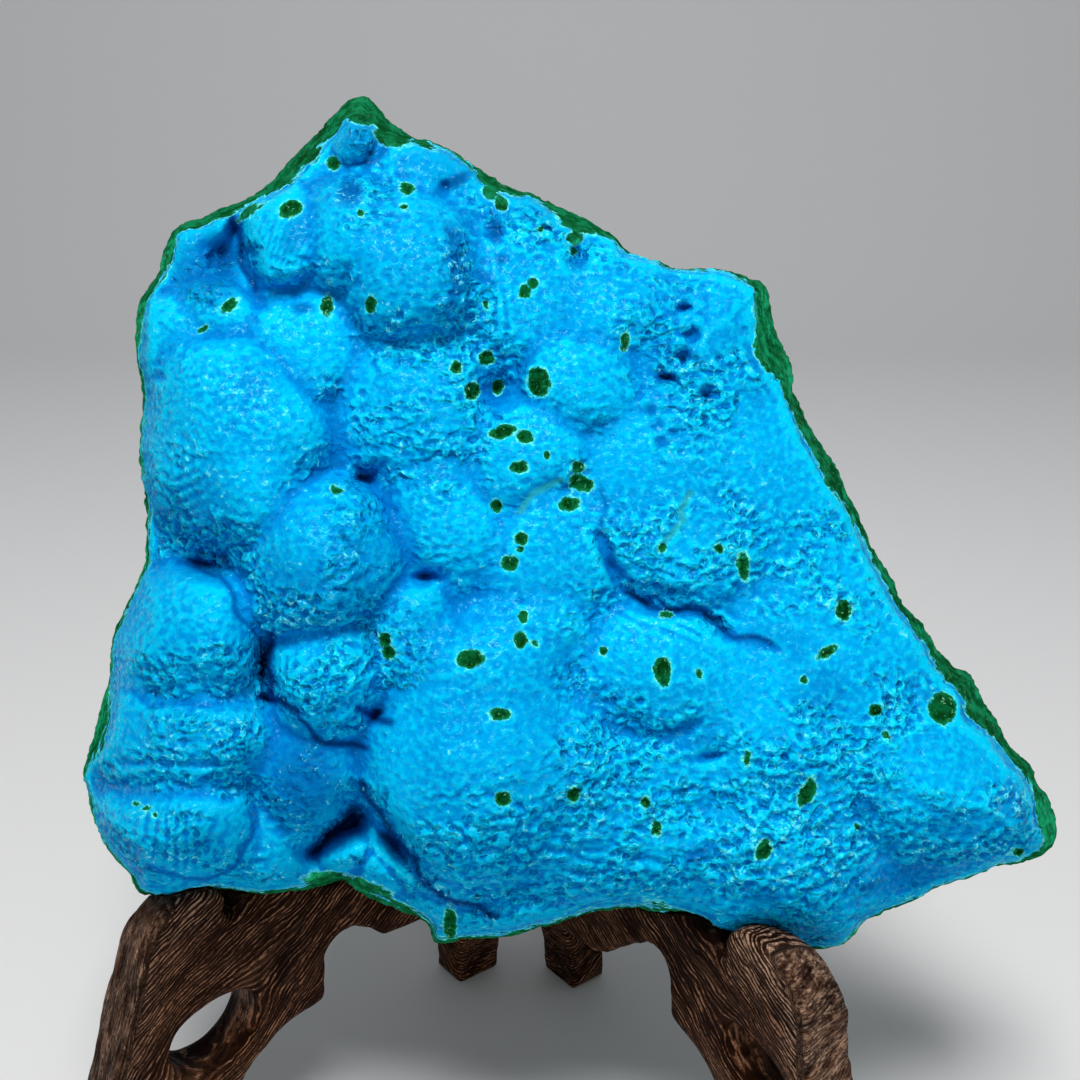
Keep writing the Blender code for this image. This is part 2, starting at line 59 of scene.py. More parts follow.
# The silhouette, clockwise from the peak: u, v and the width of bare green edge that shows.
OUTLINE = (
    (-35, 81.5, 3.5), (-32.5, 82, 4), (-31, 81.5, 4), (-29.5, 79, 3.5), (-26, 76, 2.5), (-23.5, 74.5, 0.6),
    (-19.5, 73.5, 0.4), (-15.5, 71.5, 0.4), (-12, 69, 0.5), (-9.5, 67.5, 2), (-5.5, 65, 1.5), (-1.5, 64, 0.6),
    (3.5, 61.5, 1.5), (8.5, 59.5, 2), (12.5, 57, 1), (15, 55, 0.5), (17, 52.5, 0.3), (20, 52.5, 0.2),
    (23.5, 50.5, 0.2), (28, 50, 0.2), (33.5, 50, 0.3), (38, 48.5, 0.6), (40, 48, 2), (41.5, 47, 2.2),
    (43, 41.5, 3), (44, 37.5, 3.6), (45.5, 34, 4), (47, 31.5, 3.8), (46.5, 28.5, 2), (48.5, 24, 2),
    (50.5, 20, 2.6), (53.5, 15.5, 2.8), (55.5, 12, 3), (57, 8.5, 1.6), (59, 4.5, 1.5), (61, -0.5, 1.5),
    (63.5, -4.5, 1.8), (65.5, -8, 2), (66.5, -11, 1.2), (70, -15, 1.8), (72.5, -18.5, 1.8), (74, -21.5, 2),
    (76, -23, 3.2), (79.5, -25, 4.2), (81, -27.5, 3.8), (82.5, -30.5, 4.4), (84.5, -33.5, 3.3),
    (86, -37, 1.8), (87.5, -39.5, 1.6), (90.5, -41, 2.5), (91, -42.5, 2.2), (92, -45, 1.8),
    (94.5, -48.5, 3.6), (95.5, -52, 4), (95.5, -54.5, 3), (94, -57.5, 1.8), (91, -59, 1), (88.5, -60, 0.8),
    (85.5, -60, 0.4), (79.5, -62.5, 0.3), (74, -64, 0.3), (70.5, -66, 0.3), (67, -67.5, 0.3), (63, -69, 0.3),
    (60, -70.5, 0.3), (58.5, -72.5, 0.3), (56.5, -74.5, 0.3), (53.5, -75.5, 0.3), (48, -75.5, 0.3),
    (42.5, -74.5, 0.3), (37, -73, 0.3), (33.5, -72.5, 0.3), (31, -71, 0.4), (28, -69.5, 0.6), (23, -69, 0.6),
    (17, -68, 0.6), (12.5, -68.5, 0.5), (8.5, -69, 0.5), (4.5, -70.5, 0.4), (0.5, -71.5, 0.4),
    (-3, -72.5, 0.5), (-7.5, -73.5, 0.6), (-15, -74, 0.8), (-18.5, -75, 0.8), (-20, -73.5, 0.8),
    (-20.5, -71, 0.6), (-23, -69.5, 0.6), (-25.5, -68.5, 0.7), (-29.5, -67, 0.9), (-32.5, -65.5, 1),
    (-35, -64, 1.3), (-37, -63, 1.5), (-40.5, -64, 1.3), (-45.5, -65, 1), (-50.5, -65.5, 0.6),
    (-54.5, -65, 0.3), (-58.5, -64.5, 0.3), (-63, -64.5, 0.3), (-69.5, -66, 0.3), (-72.5, -65.5, 0.4),
    (-75, -64.5, 0.8), (-76, -62, 0.8), (-79, -58.5, 0.3), (-81.5, -54.5, 0.3), (-83, -50.5, 0.3),
    (-83, -47.5, 0.3), (-84.5, -45.5, 0.3), (-84.5, -44, 0.4), (-84, -41, 0.8), (-83, -37.5, 1.2),
    (-81.5, -32, 1.5), (-80.5, -28.5, 1), (-79.5, -25.5, 0.3), (-79, -18.5, 0.3), (-76.5, -12.5, 0.5),
    (-74, -6.5, 0.6), (-73, -4, 0.6), (-73, 1.5, 0.5), (-72.5, 6, 0.4), (-73.5, 10.5, 0.3), (-74, 17.5, 0.3),
    (-73.5, 26, 0.6), (-74.5, 32.5, 0.7), (-74.5, 36.5, 0.8), (-74.5, 41.5, 1.2), (-73.5, 45, 1.4),
    (-71, 48.5, 1), (-70, 51.5, 2), (-69, 55, 2), (-67, 58.5, 1.8), (-63, 59, 1.5), (-60, 60.5, 1.5),
    (-57, 62, 1.8), (-52.5, 64, 1.2), (-48.5, 67.5, 3), (-45, 71.5, 3.5), (-40.5, 76, 3), (-37.5, 79.5, 3),
)

# The crust's lobes: centre u and v, half width, half height, turn, how far each stands out,
# and how softly it runs into the lobes before it.
LOBES = (
    # the peak and the upper left
    (-33.5, 74.5, 4.5, 4.5, 4, 1), (-47.5, 58, 8.5, 9.5, -15, 8, 1.2), (-35, 56, 10.5, 11.5, 20, 10, 2),
    (-24.5, 50.5, 13.5, 15, 11.5, 3), (-59, 42, 8, 6, 5, 1), (-69, 36, 9, 8, 6, 1.5),
    (-57, 18, 17.5, 20, 14.5, 2), (-63, 24, 11.5, 13.5, 13.5, 4), (-53.5, 9, 12, 13, 14, 4),
    (-44.5, 35, 11, 10.5, 6.5, 2), (-23, 23, 15, 16, 6, 2.5), (-42, -3.5, 16.5, 16.5, 16, 1.2),
    # down the left side
    (-65.5, -18, 15.5, 14.5, 15.5, 1.2), (-66.5, -36, 17.5, 14, 13.5, 4), (-67.5, -53.5, 17, 12, 14, 3),
    (-39.5, -26.5, 11.5, 13.5, 13, 1.5), (-44, -42, 10.5, 11.5, 9, 1.2), (-52.5, -56.5, 10.5, 9, 6, 1.5),
    (-43.5, -54, 4.5, 3.5, 4.5, 1), (-24.5, -17.5, 9, 12, 8.5, 2), (-17.5, 2, 10.5, 14, 7, 2.5),
    # the middle
    (-2.5, 15, 11, 11.5, 6, 1.8), (6.5, 29, 11, 10, 6, 1.2), (15.5, 44, 11.5, 10.5, 5, 2),
    (32.5, 39, 13.5, 15.5, 3.5, 2), (30.5, 12, 24, 20.5, 4, 3), (26, -1, 18, 12.5, 5, 1.5),
    (23.5, -24.5, 17.5, 13, 7, 2), (18, -44.5, 16.5, 12, 6.5, 4), (-14, -46, 20.5, 22, 16.5, 1.5),
    (1, -46, 16.5, 19.5, 11, 5), (-11, -28, 18.5, 15.5, 12, 5), (-3.5, -18.5, 13, 11, 8, 4),
    (1.5, -4, 15, 13, 6, 2.5),
    # small lumps and a foot under the largest lobe
    (-35, -57.5, 4.5, 5, 5, 1), (-28.5, -61.5, 5, 4.5, 4.5, 1), (-20, -66.5, 5.5, 5, 4.5, 1),
    (-6.5, -69.5, 14, 5, 5, 1),
    # the broad, low right side
    (76, -45.5, 19.5, 15.5, 7, 3), (57.5, -18.5, 22, 20, 5, 3), (46, -39, 23, 20, 6.5, 4),
    (42.5, -61.5, 22.5, 16.5, 8.5, 3), (15, -57.5, 21.5, 13, 9, 4), (-7.5, 53.5, 14, 15, 4, 2.5),
    (-1, 44.5, 10.5, 10, 3.5, 2), (-18.5, 68.5, 10.5, 8, 4, 1.5), (48, 7.5, 15, 20.5, 3, 3),
)

# Hollows: centre u and v, half width, half height, turn and depth.
HOLLOWS = (
    (-36, -53, 6.5, 4, 35, 12), (-26.5, -57.5, 8, 3, -38, 9), (-41, -56.5, 3.5, 3, 5), (-57.5, 56, 2.5, 4, 5),
    (-59, 51.5, 5.5, 4, 5), (-62.5, -5, 5, 2, -12, 6), (-50.5, -22, 1.5, 5, 4.5), (-49.5, -29, 2.5, 1.5, 3),
    (-30.5, -32.5, 2.5, 1.5, 4), (-31.5, 11.5, 3, 2, 20, 4), (-22, -7.5, 3.5, 1.5, 3), (-9, 28.5, 4, 5, 3.5),
    (27, 43, 1.5, 1.5, 2.2), (28.5, 38.5, 1.5, 1.5, 2.2), (26.5, 34.5, 2.5, 1.5, 2.4),
    (23.5, 30.5, 3, 1.5, 2.6), (30.5, 27, 2, 2, 2.4), (6.5, 52, 2, 2.5, 2.4), (47, -77, 14, 6, 11),
)

# Creases: the points that each runs through, its half width and its depth.
CREASES = (
    (((12, 0), (12.8, -4.5), (14.9, -9.3), (20.3, -12.6), (25, -12.3), (30.2, -13.2), (35.4, -17.7)),
     1.1, 2.4),
    (((-54, 53.5), (-52, 48.5), (-50.5, 45)), 1.3, 3),
    (((13.5, -35), (20.5, -36), (28, -33.5)), 1.5, 1.5),
    (((-72, -29), (-65, -30.5), (-55.5, -29.5)), 1.8, 1.2),
    (((-77.5, -46.5), (-68.5, -45.5), (-57.5, -48)), 1.8, 1.2),
)

EDGE_SHEET = 8.0  # the crust's height at its edge, and how much it gains further in
INNER_SHEET = 10.0
SHEET_RUN = 15.0
SHOULDER = 9.5  # how steeply the crust rolls up from the edge
THIN_LIP = 3.0  # height of the bare side in front of the silhouette, thin or wide
WIDE_LIP = 8.0
DOME_REACH = 0.93  # share of a lobe that is round before its flank runs straight down

# The sides: each row's w, how far it is set in, and how many times its corners are worn down.
BACK = -12.5
SIDE_ROWS = ((-4.5, 0.5, 2), (-9.0, 1.8, 6), (BACK, 4.0, 12))
SIDE_STEPS = 5  # rows of points from each of them to the next
SIDE_WAVES = 0.9
# The rough back is broken along a few planes: how each slopes along u and v, and where it stands at
# the stone's middle.
FACETS = (
    (0.035, 0.05, -15.2), (-0.05, 0.03, -15.0), (0.02, -0.06, -14.6), (0.09, -0.02, -13.8),
    (-0.09, -0.04, -13.2),
)
BACK_WAVES = 0.7

# ---- What shows on the crust ----
# Spots where the crust is worn through to green stone: centre u and v, half width, half height, turn.
WORN_SPOTS = (
    (-38.1, 69.7, 1.3, 1.2), (-46.1, 61.2, 2.2, 1.6, 20), (-57.5, 43.3, 1.9, 1, 35), (-39.4, 43.3, 1.1, 1.9),
    (-31.3, 43.5, 1, 1.6), (-33.1, 60.5, 0.6, 0.6), (-24.6, 65.1, 1.3, 1.1, -20), (-25.2, 61.6, 0.7, 0.6),
    (-1.3, 47.5, 1, 1.1), (-2.8, 45.9, 1.1, 1.3), (0, 57.2, 0.6, 0.8), (6.1, 53.5, 0.6, 0.8),
    (-10, 43.5, 0.6, 0.7), (-15.7, 31.8, 1, 1.3), (-10, 33.7, 1.5, 1.4), (-12.6, 27.6, 1.4, 1.6),
    (-7.8, 28.3, 1.1, 1.3), (-0.2, 29.2, 2.1, 2.8, 5), (15.7, 36.6, 0.8, 1.5, -10), (-6.8, 20, 2.4, 1.3, 12),
    (-2.8, 19.1, 1.7, 1.2, -10), (-3.9, 13.5, 1.7, 1.2, 10), (1.3, 15.7, 0.6, 0.7), (7, 13.5, 1.2, 1.1),
    (7.6, 10.5, 2.4, 1.6, -15), (5.5, 6.7, 2, 1.3, 10), (-8, 6.3, 1.2, 1.2), (-3.5, 0.2, 1.3, 1.2),
    (-3.7, -1.7, 0.6, 0.6), (-5.7, -4.3, 1.6, 1.4, 15), (-3.1, -14.2, 0.9, 1.1), (-3.7, -18.5, 1.3, 1.6),
    (-0.9, -19.1, 0.5, 0.6), (-12.8, -22, 2.6, 1.8, 5), (-28.7, -18.5, 1.1, 1.3),
    (-27.8, -20.9, 1.5, 1.2, -15), (11.8, -20.5, 0.8, 0.8), (22.6, -23.9, 1.6, 2.2, -5),
    (22.9, -25.9, 1, 1.3), (29.4, -24.8, 0.6, 1), (-7.4, -32.2, 2, 1.1, -8), (22.6, -1.5, 0.8, 0.8),
    (33.1, -1.5, 0.9, 0.9), (37.6, -4.8, 1.1, 2.5, 5), (23.3, -13.9, 1.1, 0.6), (56.2, -13.1, 1.4, 1.9),
    (53.1, -20.7, 2.1, 1, 30), (48.8, -25.9, 0.6, 0.7), (62, -31.4, 1.2, 1.2), (64, -36.1, 0.7, 0.8),
    (74.4, -31.1, 2.6, 3, 10), (38.3, -40.3, 0.8, 1.2), (49.4, -46.6, 1.5, 2.7, -25),
    (41.4, -57.4, 1.4, 2, -20), (21.5, -53.3, 1, 1.4), (19.6, -48.7, 0.9, 1.1), (6.1, -47, 1.3, 1.4),
    (-6.8, -47.9, 1.5, 1.4), (-74.7, -48.8, 0.5, 0.4), (-72.9, -49.7, 0.9, 0.4, 20), (-71.1, -50.8, 0.5, 0.5),
    (-37.6, 9.1, 1.1, 0.7, -20), (88.4, -57.7, 1.1, 0.7), (-16.6, -71, 1.2, 3.1), (-62.3, 39, 0.9, 0.5, 30),
    (58.5, -52.9, 0.6, 0.6),
)

# Green that reaches in from the edge, in the same terms.
GREEN_PATCHES = (
    (-33.1, 79, 4.1, 2.2, -10), (-31.8, 80.1, 1.9, 1.3), (-27.4, 74.7, 3.7, 1.9, -25),
    (-43.2, 71.2, 2.6, 1.7, 25), (-47.3, 67, 3.2, 1.4, 25), (-8.7, 65.1, 1.5, 2.2, -35),
    (-7.2, 62.3, 1.1, 1.5), (7, 59, 4.4, 2, -20), (6.7, 55.9, 1.7, 1.5), (-22.2, 73.8, 2.6, 0.7, -25),
    (-53.6, 61, 2.2, 0.7, 35), (-81.4, -34.2, 1.3, 5.9, -12), (-38.9, -62.9, 4.4, 1.5),
    (-32.4, -64, 4.1, 1.1, -15), (-25.9, -67.5, 4.8, 0.7, -30), (25.9, -69.4, 5.5, 0.7, -25),
    (12.9, -69.7, 5.5, 0.6), (-11.1, -74, 7.4, 0.6),
)

# Where less of the edge is bare: centre u and v, half width, half height, turn, how much less.
NARROWED = ((-46, 70, 8, 6, 30, 0.25), (62, -7, 8, 10, 0.12))
# Where more of it is bare.
WIDENED = ((41, 35, 6, 5, 0.5), (45, 37, 9, 14, 0.25), (55, 7, 7, 5, 0.3))

# Small round pits: centre u and v, and radius.
PITS = (
    (28.7, 38.3, 1.4), (26.5, 34.4, 1.4), (22.9, 30.3, 1.5), (30.5, 27, 1.3), (20.5, 24.1, 1.1),
    (22.4, 17.9, 1.4), (27, 43.1, 1.3), (-32.9, 27.2, 0.8), (-33.7, 11.5, 2), (-21.8, -7, 1.9),
    (-30.3, -33.1, 1.9), (-34.4, 64.8, 0.9), (-17.6, 65.7, 1), (9.2, 20, 0.8), (12.9, -4.6, 1.3),
    (16.1, -55.1, 1.1), (-70.3, 30.3, 1.3), (-8, 6.3, 1.1), (33.3, 33.3, 1), (18.5, 26.8, 0.9),
    (25.2, 39.8, 1), (36.1, 34.8, 1), (-56.2, 57.4, 2.1), (0.9, 57.7, 1.2), (-8.3, 57, 2), (6.5, 52.2, 2),
    (12.2, -9.6, 1), (18.5, -29.6, 1), (3.7, -37.9, 0.9), (14.2, -45, 1.4), (30.5, -61, 0.9), (8, -21.3, 0.7),
    (-3.7, -11.1, 0.8), (-20.4, 72.2, 1.1),
)

# Where the crust is shrivelled into wrinkles: centre u and v, half width, half height, turn, how much.
WRINKLED = (
    (30, -50, 44, 20, 1), (60, -42, 24, 20, 0.8), (-8, -60, 24, 10, 0.95), (30, -8, 28, 20, 0.7),
    (28, 32, 16, 20, 0.8), (-20, 20, 16, 14, 0.6), (-28, -22, 9, 12, 0.6), (-64, -46, 14, 8, 0.6),
    (-42, -12, 14, 9, 0.7), (-60, -2, 14, 7, 0.8), (-58, -28, 16, 8, 0.6), (-16, 44, 9, 16, 0.7),
    (2, 58, 18, 7, -20, 0.8), (-30, 62, 10, 8, 0.7), (-24, 36, 12, 7, 0.7), (10, -20, 16, 12, 0.5),
    (54, -8, 14, 18, 0.6), (14, -62, 30, 9, 0.9), (-40, -34, 10, 10, 0.6), (-62, -24, 13, 8, 1),
    (-33, 74, 4, 4, 1), (-62, 49, 7, 6, 1), (-58, -38, 12, 6, 1), (-55, -46, 10, 4, 0.9),
    (-41, -24, 9, 10, 0.9), (-36, 0, 10, 12, 0.7), (86, -50, 6, 9, 0.9), (76, -53, 10, 6, -20, 0.9),
    (-65, -35, 12, 6, 0.85), (-64, -43, 11, 4, 0.85),
)
# Where it stays waxy and smooth, as on the tops of the lobes.
SMOOTH = (
    (-50, 56, 8, 7), (-27, 52, 9, 7), (-46, 2, 9, 8), (-68, -11, 12, 6), (-76, -38, 5, 8), (-14, -34, 14, 8),
    (8, 28, 7, 6), (0, 12, 9, 7), (38, 42, 12, 9), (20, -20, 12, 8), (76, -40, 12, 6), (44, -22, 16, 8),
    (-4, 0, 8, 8), (-72, 36, 7, 6), (-78, -50, 6, 8),
)
# Where white grains are caught in the crust, which are also painted as glints on the crests: centre u and v,
# half width, half height, turn.
SPECKLED = (
    (-36, 21, 4, 7), (-42, 12, 5, 4), (-58, 22, 14, 14), (40, 10, 5, 6), (66, -16, 4, 3), (68, -28, 4, 4),
    (7, 9, 4, 5), (-28, -19, 3, 4), (44, -6, 5, 4), (26, -14, 6, 3), (-52, 40, 6, 3), (-50, 6, 6, 4),
    (54, -14, 4, 4), (-70, -60, 6, 3), (-73.5, -50, 4, 2.5), (87, -50, 5, 9), (74, -54, 8, 5),
    (46, -58, 14, 8), (-40, 49, 4, 4), (-34, 63, 6, 3, -15), (-25, 45, 4, 4), (-15, 51, 3, 5),
    (-13, 40, 3, 3), (-31, 36, 5, 3), (-45, -14, 8, 6), (-65, -36, 10, 6),
)
# Painted shade darkening the blue, mostly in valleys and hollows between the lobes: centre u and v, half
# width, half height, turn, how much.
PAINTED_SHADE_ZONES = (
    (-60.5, 50.5, 8, 7.5, 20, 1), (-59, 52, 3.5, 5, 20, 1.3), (-10, 59, 5, 3.5, 0.6), (-9, 29, 4, 6, 0.7),
    (-30, 2, 7, 12, 0.5), (-44, -44, 9, 12, 1), (-33, -6, 10, 13, 0.6), (-42, -10, 12, 8, 0.65),
    (-22, -20, 6, 9, 0.45), (-19, 69, 9, 4, -20, 0.6), (-40, 64, 7, 4, 40, 0.4), (0, 61, 10, 3, -20, 0.4),
    (-33, 74, 5, 5, 0.8), (22, -10, 8, 3, 0.7), (-66, -40, 14, 5, 0.35), (-55, -20, 4, 10, 0.5),
    (-17, 44, 4, 10, 0.4), (26.5, 43.3, 2.2, 2.2, 0.95), (28.5, 38.2, 2, 1.8, 0.95), (27, 34.6, 3, 1.8, 0.95),
    (22.8, 30.2, 3.6, 2, 0.95), (20.5, 24.2, 2, 1.8, 0.85), (22.5, 17.9, 1.8, 1.5, 0.8),
    (31, 27, 2.6, 2, -30, 0.9), (7, 51, 2.4, 2, 0.8), (7.8, 37, 1.6, 1.2, 0.8), (10.2, 20.7, 3, 1.5, 0.6),
    (24, 31, 5, 12, 0.3), (-34.8, 65.2, 2.4, 2.6, 0.8), (-17.8, 65.3, 2, 2.4, 20, 0.8),
    (-25.5, 69.5, 2, 3, 20, 0.6), (-52, 30, 4, 5, 0.4), (52, -28, 6, 5, 0.4), (30, -38, 6, 3, 0.5),
    (9, 60, 8, 3, -15, 0.5), (-31, 12, 4, 4, 0.7), (-60, -5, 8, 3, 0.6), (44, -19, 8, 4, -20, 0.4),
    (66, -62.5, 12, 4, 12, 0.9), (-64, -38, 20, 26, 0.32), (-40, 0, 15, 16, 0.3), (-26, 52, 16, 15, 0.3),
    (-4, -44, 22, 24, 0.25), (-40, -38, 12, 14, 0.5), (-20, 20, 14, 14, 0.2), (24, 38, 14, 13, 0.3),
    (-12, -15, 13, 12, 0.25), (-35.3, 64.2, 3, 3, 1.15), (-16, 66.2, 4.5, 1.7, 28, 1.35),
    (-8.2, 57.4, 1.8, 3, 1.3), (-10.5, 48.5, 3, 1.6, -30, 1), (-7, 52, 1.4, 1.2, 1.1),
    (-45, 57, 2.5, 5, -30, 0.8), (-44, 43, 2.5, 1.2, 1.1), (77, -53, 7, 4, -30, 0.7), (60.5, -49, 3, 2, 1),
    (29.4, -58, 4, 2, 20, 1), (42, -66, 5, 2, 0.9), (88, -49, 2.5, 6, 15, 0.7),
)
# Painted shade along the creases: the points that each runs through, its half width and how dark it is.
PAINTED_CREASE_SHADE = (
    (((11.7, 9.4), (11.7, 1.4), (12.8, -3.8), (14.9, -9.3)), 0.7, 1.0),
    (((14.9, -9.3), (20.3, -12.8), (25, -12.5), (30.2, -13.3), (32.5, -15.4), (35.4, -17.7), (42.3, -19)),
     0.9, 1.5),
    (((-56.6, 59.5), (-55.8, 55), (-55, 51), (-53, 46.5)), 1.1, 1.6),
    (((-67, -4.5), (-62.5, -5), (-58.8, -6.5), (-58, -8), (-56.5, -13), (-52.3, -18)), 0.8, 1.3),
    (((-50.3, -17), (-49.8, -22), (-50, -28)), 1.1, 1.6),
    (((-51.8, -28.4), (-47.4, -29.5), (-44.5, -33), (-41.6, -36.4), (-36, -38), (-31.8, -38.5)), 0.9, 1.7),
    (((-73, -60), (-65.5, -63), (-58, -61.5), (-53.2, -55.5), (-53, -49)), 0.7, 1.1),
    (((-77, -41), (-70, -41.2), (-57, -41.2)), 0.5, 0.9),
    (((-16.5, 57), (-15.2, 50), (-16.5, 44)), 2.0, 1.05),
    (((15, -34.5), (20.5, -35.3), (27.5, -34)), 0.6, 1.2),
    (((-33, -45), (-28.5, -52), (-25, -57), (-22, -62.5), (-16, -67), (-8, -69)), 1.1, 1.6),
    (((-75.8, -27.9), (-70.8, -30.7), (-65.1, -30.7), (-51.6, -28.7)), 0.7, 0.9),
    (((-33, -31.6), (-30.5, -32.5), (-28, -33.4)), 1.2, 1.5),
    (((-33.8, 12.7), (-31.5, 11.5), (-30.3, 8.3), (-26.8, 5.5)), 0.8, 1.1),
    (((-28.4, 76), (-28.8, 73), (-31, 70.4), (-34.5, 69)), 0.9, 1.2),
)
# Faint straight ridges: centre u and v, half width, half height, the way they run, spacing, depth.
STRIATED = (
    (-46, 55, 7, 6, 60, 1.3, 0.12), (-20, -30, 16, 10, 20, 3.6, 0.05), (-66, 8, 6, 9, 40, 2.0, 0.12),
    (26, -14, 14, 5, -28, 1.9, 0.18), (-10, 40, 5, 12, 95, 1.9, 0.15), (-68, -56, 10, 7, 80, 2.2, 0.28),
)
# Places where the crust sinks further than the solid's: centre u and v, half width, half height,
# turn and depth.
DEEPER = (
    (-34.2, -49.8, 4.2, 3.4, -35, 7), (-38.5, -54, 3.5, 1.4, 45, 2.5), (-27.5, -55, 6, 1.6, -42, 4.5),
    (-67, 49, 4, 3, 20, 0.5), (-61.5, -5.8, 5, 1.8, -15, 3.5), (31.5, -40, 3, 1.2, 15, 2),
    (-43, 47, 9, 2.8, -12, -1.3), (-9.5, 27, 3, 4, 1.5), (-22, -7.5, 4, 1.6, 10, 1.8),
    (24, 20, 5, 2, -20, 0.9), (-50.5, -24, 1.6, 5, 2), (-33, 10, 3, 2.4, 20, 2), (22.5, -10.4, 6.5, 2.2, 1.3),
    (-34.8, 65.2, 1.8, 2.2, 1.2), (-17.8, 65.3, 1.6, 2, 20, 1.2), (13.5, -7, 1.6, 4, 10, 0.8),
    (33, -15, 4, 1.5, -30, 0.5), (-58, 57.5, 3, 3, -2.6),
)
# Narrow grooves in the crust: the points that each runs through, its half width and its depth.
GROOVES = (
    (((27.8, 8.7), (25.9, 5.5), (26.5, 3.7), (22.6, -0.9)), 0.5, 0.7),
    (((-3.7, 5.2), (-1.5, 8.5), (3.7, 11.1)), 0.9, 0.6),
    (((-9, -47), (-2, -50), (5, -56), (8, -62)), 0.9, 0.7),
    (((16, -58), (24, -60), (32, -57)), 0.8, 0.5),
    (((42, -50), (50, -55), (60, -56)), 0.9, 0.5),
    (((-32, -14), (-30, -22), (-31, -30)), 0.8, 0.8),
    (((33, -16.5), (36.6, -18.4), (40.7, -19.5), (44, -20)), 0.8, 1.2),
    (((-73, -29), (-65, -31), (-58, -30.5), (-52, -29.5)), 0.9, 0.9),
    (((-78, -41), (-70, -41.4), (-60, -41), (-53, -40.5)), 0.8, 0.6),
    (((-73, -60), (-65.5, -63), (-58, -61.5), (-53.2, -55.5), (-53, -49)), 0.8, 1.5),
    (((-56.2, 60), (-55.4, 56), (-54.6, 52), (-53, 48)), 0.8, 1.6),
)
PALE_GROOVES = 2  # how many of them, from the first, are stained green
# Where small round nubs stand out: centre u and v, half width, half height, turn.
NUBS_AT = ((27, 38, 3.5, 9), (24, 27, 5, 3), (18, 26, 3, 3))

BARE_SHARE = 0.8  # of the bare edge's width that shows green
LEAST_WRINKLED = 0.14
SPOT_DEPTH = 0.35
RIM_ROUGH = 0.22  # how far the silhouette wanders, in lumps of RIM_LUMP
RIM_LUMP = 0.9
FAR = 20.0  # stands for any distance too great to matter
# What the relief and colours go by on the sides and back, where it isn't 0.
BEHIND = {"worn": -FAR, "bare": FAR, "stained": FAR, "behind": 1}

# ---- How finely the stone is made ----
OUTLINE_STEP = 3.0
CURVE_STEPS = 12  # points of a smooth curve between each two that it passes through
FINER = 5  # points on the silhouette for each one of the solid
SHEET_STEP = 0.6  # from point to point on the front, and on the back
BACK_STEP = 1.7
LIP_ROWS = 16
LIP_REACH = 2.4  # how far in past the bare edge those rows go
LIP_STATIONS = 30  # places where the steep lip is measured, to space its rows evenly
SPOT_POINTS = 22  # round each worn spot
SPOT_RING = 0.3  # how far inside and outside a spot's edge its other points lie

VALLEY_ROUNDS = 45  # of smoothing, to find the valleys between the lobes
FILLED_SHARE = 0.62  # of their depth that is filled
FILLED_FROM = 0.0004  # metres of depth at which half of that share is reached
WRINKLE_ROUNDS = 3  # of smoothing, to find what lies in a wrinkle
SHELTER_ROUNDS = 60  # and what lies in the shelter of the lobes

# ---- The stand ----
# s runs back from each board's hook and z is up. Each run is smooth, and the runs meet in the
# corners of the soles. The boards share an outline, but for the front of the hook and the arch
# behind the front leg.
LEFT_HOOK = ((-22, 0), (-20.5, 14), (-16, 32), (-11, 47), (-8, 57), (-3, 63.8))
RIGHT_HOOK = (
    (-22, 0), (-20.5, 14), (-16.4, 30), (-12.8, 43), (-11.4, 50), (-10.8, 56), (-8, 60.8), (-3.5, 64.3),
)
OVER = (
    (2.5, 65.3), (6.5, 63.8), (8.2, 61), (8, 58.4), (9.8, 57.2), (13, 58.8), (17, 61), (24, 59), (33, 55.5),
    (40, 57), (50, 78), (60, 99), (70.5, 119), (79, 134), (84, 138.5), (88.5, 137), (91, 130), (91, 115),
    (93, 95), (96, 70), (99, 45), (100.5, 20), (100.5, 0),
)
SOLE_REAR = ((100.5, 0), (91.5, 0))
REAR_ARCH = ((91.5, 0), (90.5, 9), (87.5, 20), (82, 30), (74, 35.5), (62, 37), (50, 37.4), (44, 37.6))
LEFT_ARCH = (
    (41, 38.2), (37.5, 41.4), (34.3, 43.2), (30.4, 42.2), (27.8, 38.7), (27.3, 31), (25.5, 29), (18.6, 27.4),
    (14, 24.9), (10.7, 22.3), (7.3, 17), (4.5, 10), (3, 4), (2.5, 0),
)
RIGHT_ARCH = (
    (41, 38.6), (38, 40.6), (35.8, 42.8), (32, 45.8), (27.6, 48.8), (24.5, 49), (22.3, 46.6), (21.2, 41.6),
    (20.6, 37.2), (17.1, 35.1), (13.4, 33.6), (9.8, 30.9), (6.3, 26.5), (3, 20), (0, 12), (-3, 5), (-4.5, 0),
)
BOARD_STEP = 0.9
THICKNESS = 12.5
ROUNDING = 1.8
ROUNDING_ROWS = 4
GAP = 0.3

# The top of each hook slopes down to its outer face.
HOOK_END = 9.0
HOOK_FOOT = 44.0
HOOK_TOP = 65.3
HOOK_FALL = 5.0

# The slanting hole in each front leg: its middle's s and z, its half length and its half width.
LEFT_HOLE = (4.0, 32.8, 9.5, 7.5)
RIGHT_HOLE = (-2.0, 38.5, 10.5, 5.0)
HOLE_TURN = math.radians(36)
HOLE_TAPER = 0.15  # how much narrower it is towards its upper end
HOLE_POINTS = 64
# the left board gets half as much worn grey and painted highlight
LEFT_RUBBED = 0.5  # of how much the right board is rubbed
END_DEPTH = 1.4  # how far in from the front edge the grain of the end shows

LEFT_CROSS_AT = 77.2  # along each board's s, where the two cross
RIGHT_CROSS_AT = 78.6
HALF_LAP = 84.0  # height where one board's slot ends and the other's begins
BELOW_ALL = -10  # heights clear of the whole stand, where the slots run out
ABOVE_ALL = 200
LEFT_ANGLE = 45  # which way each board runs back from its hook, in degrees
RIGHT_ANGLE = 135
STAND_CENTRE = (-10.7, 30.9)
STAND_TURN = -7.0  # the stand isn't quite square to the stone

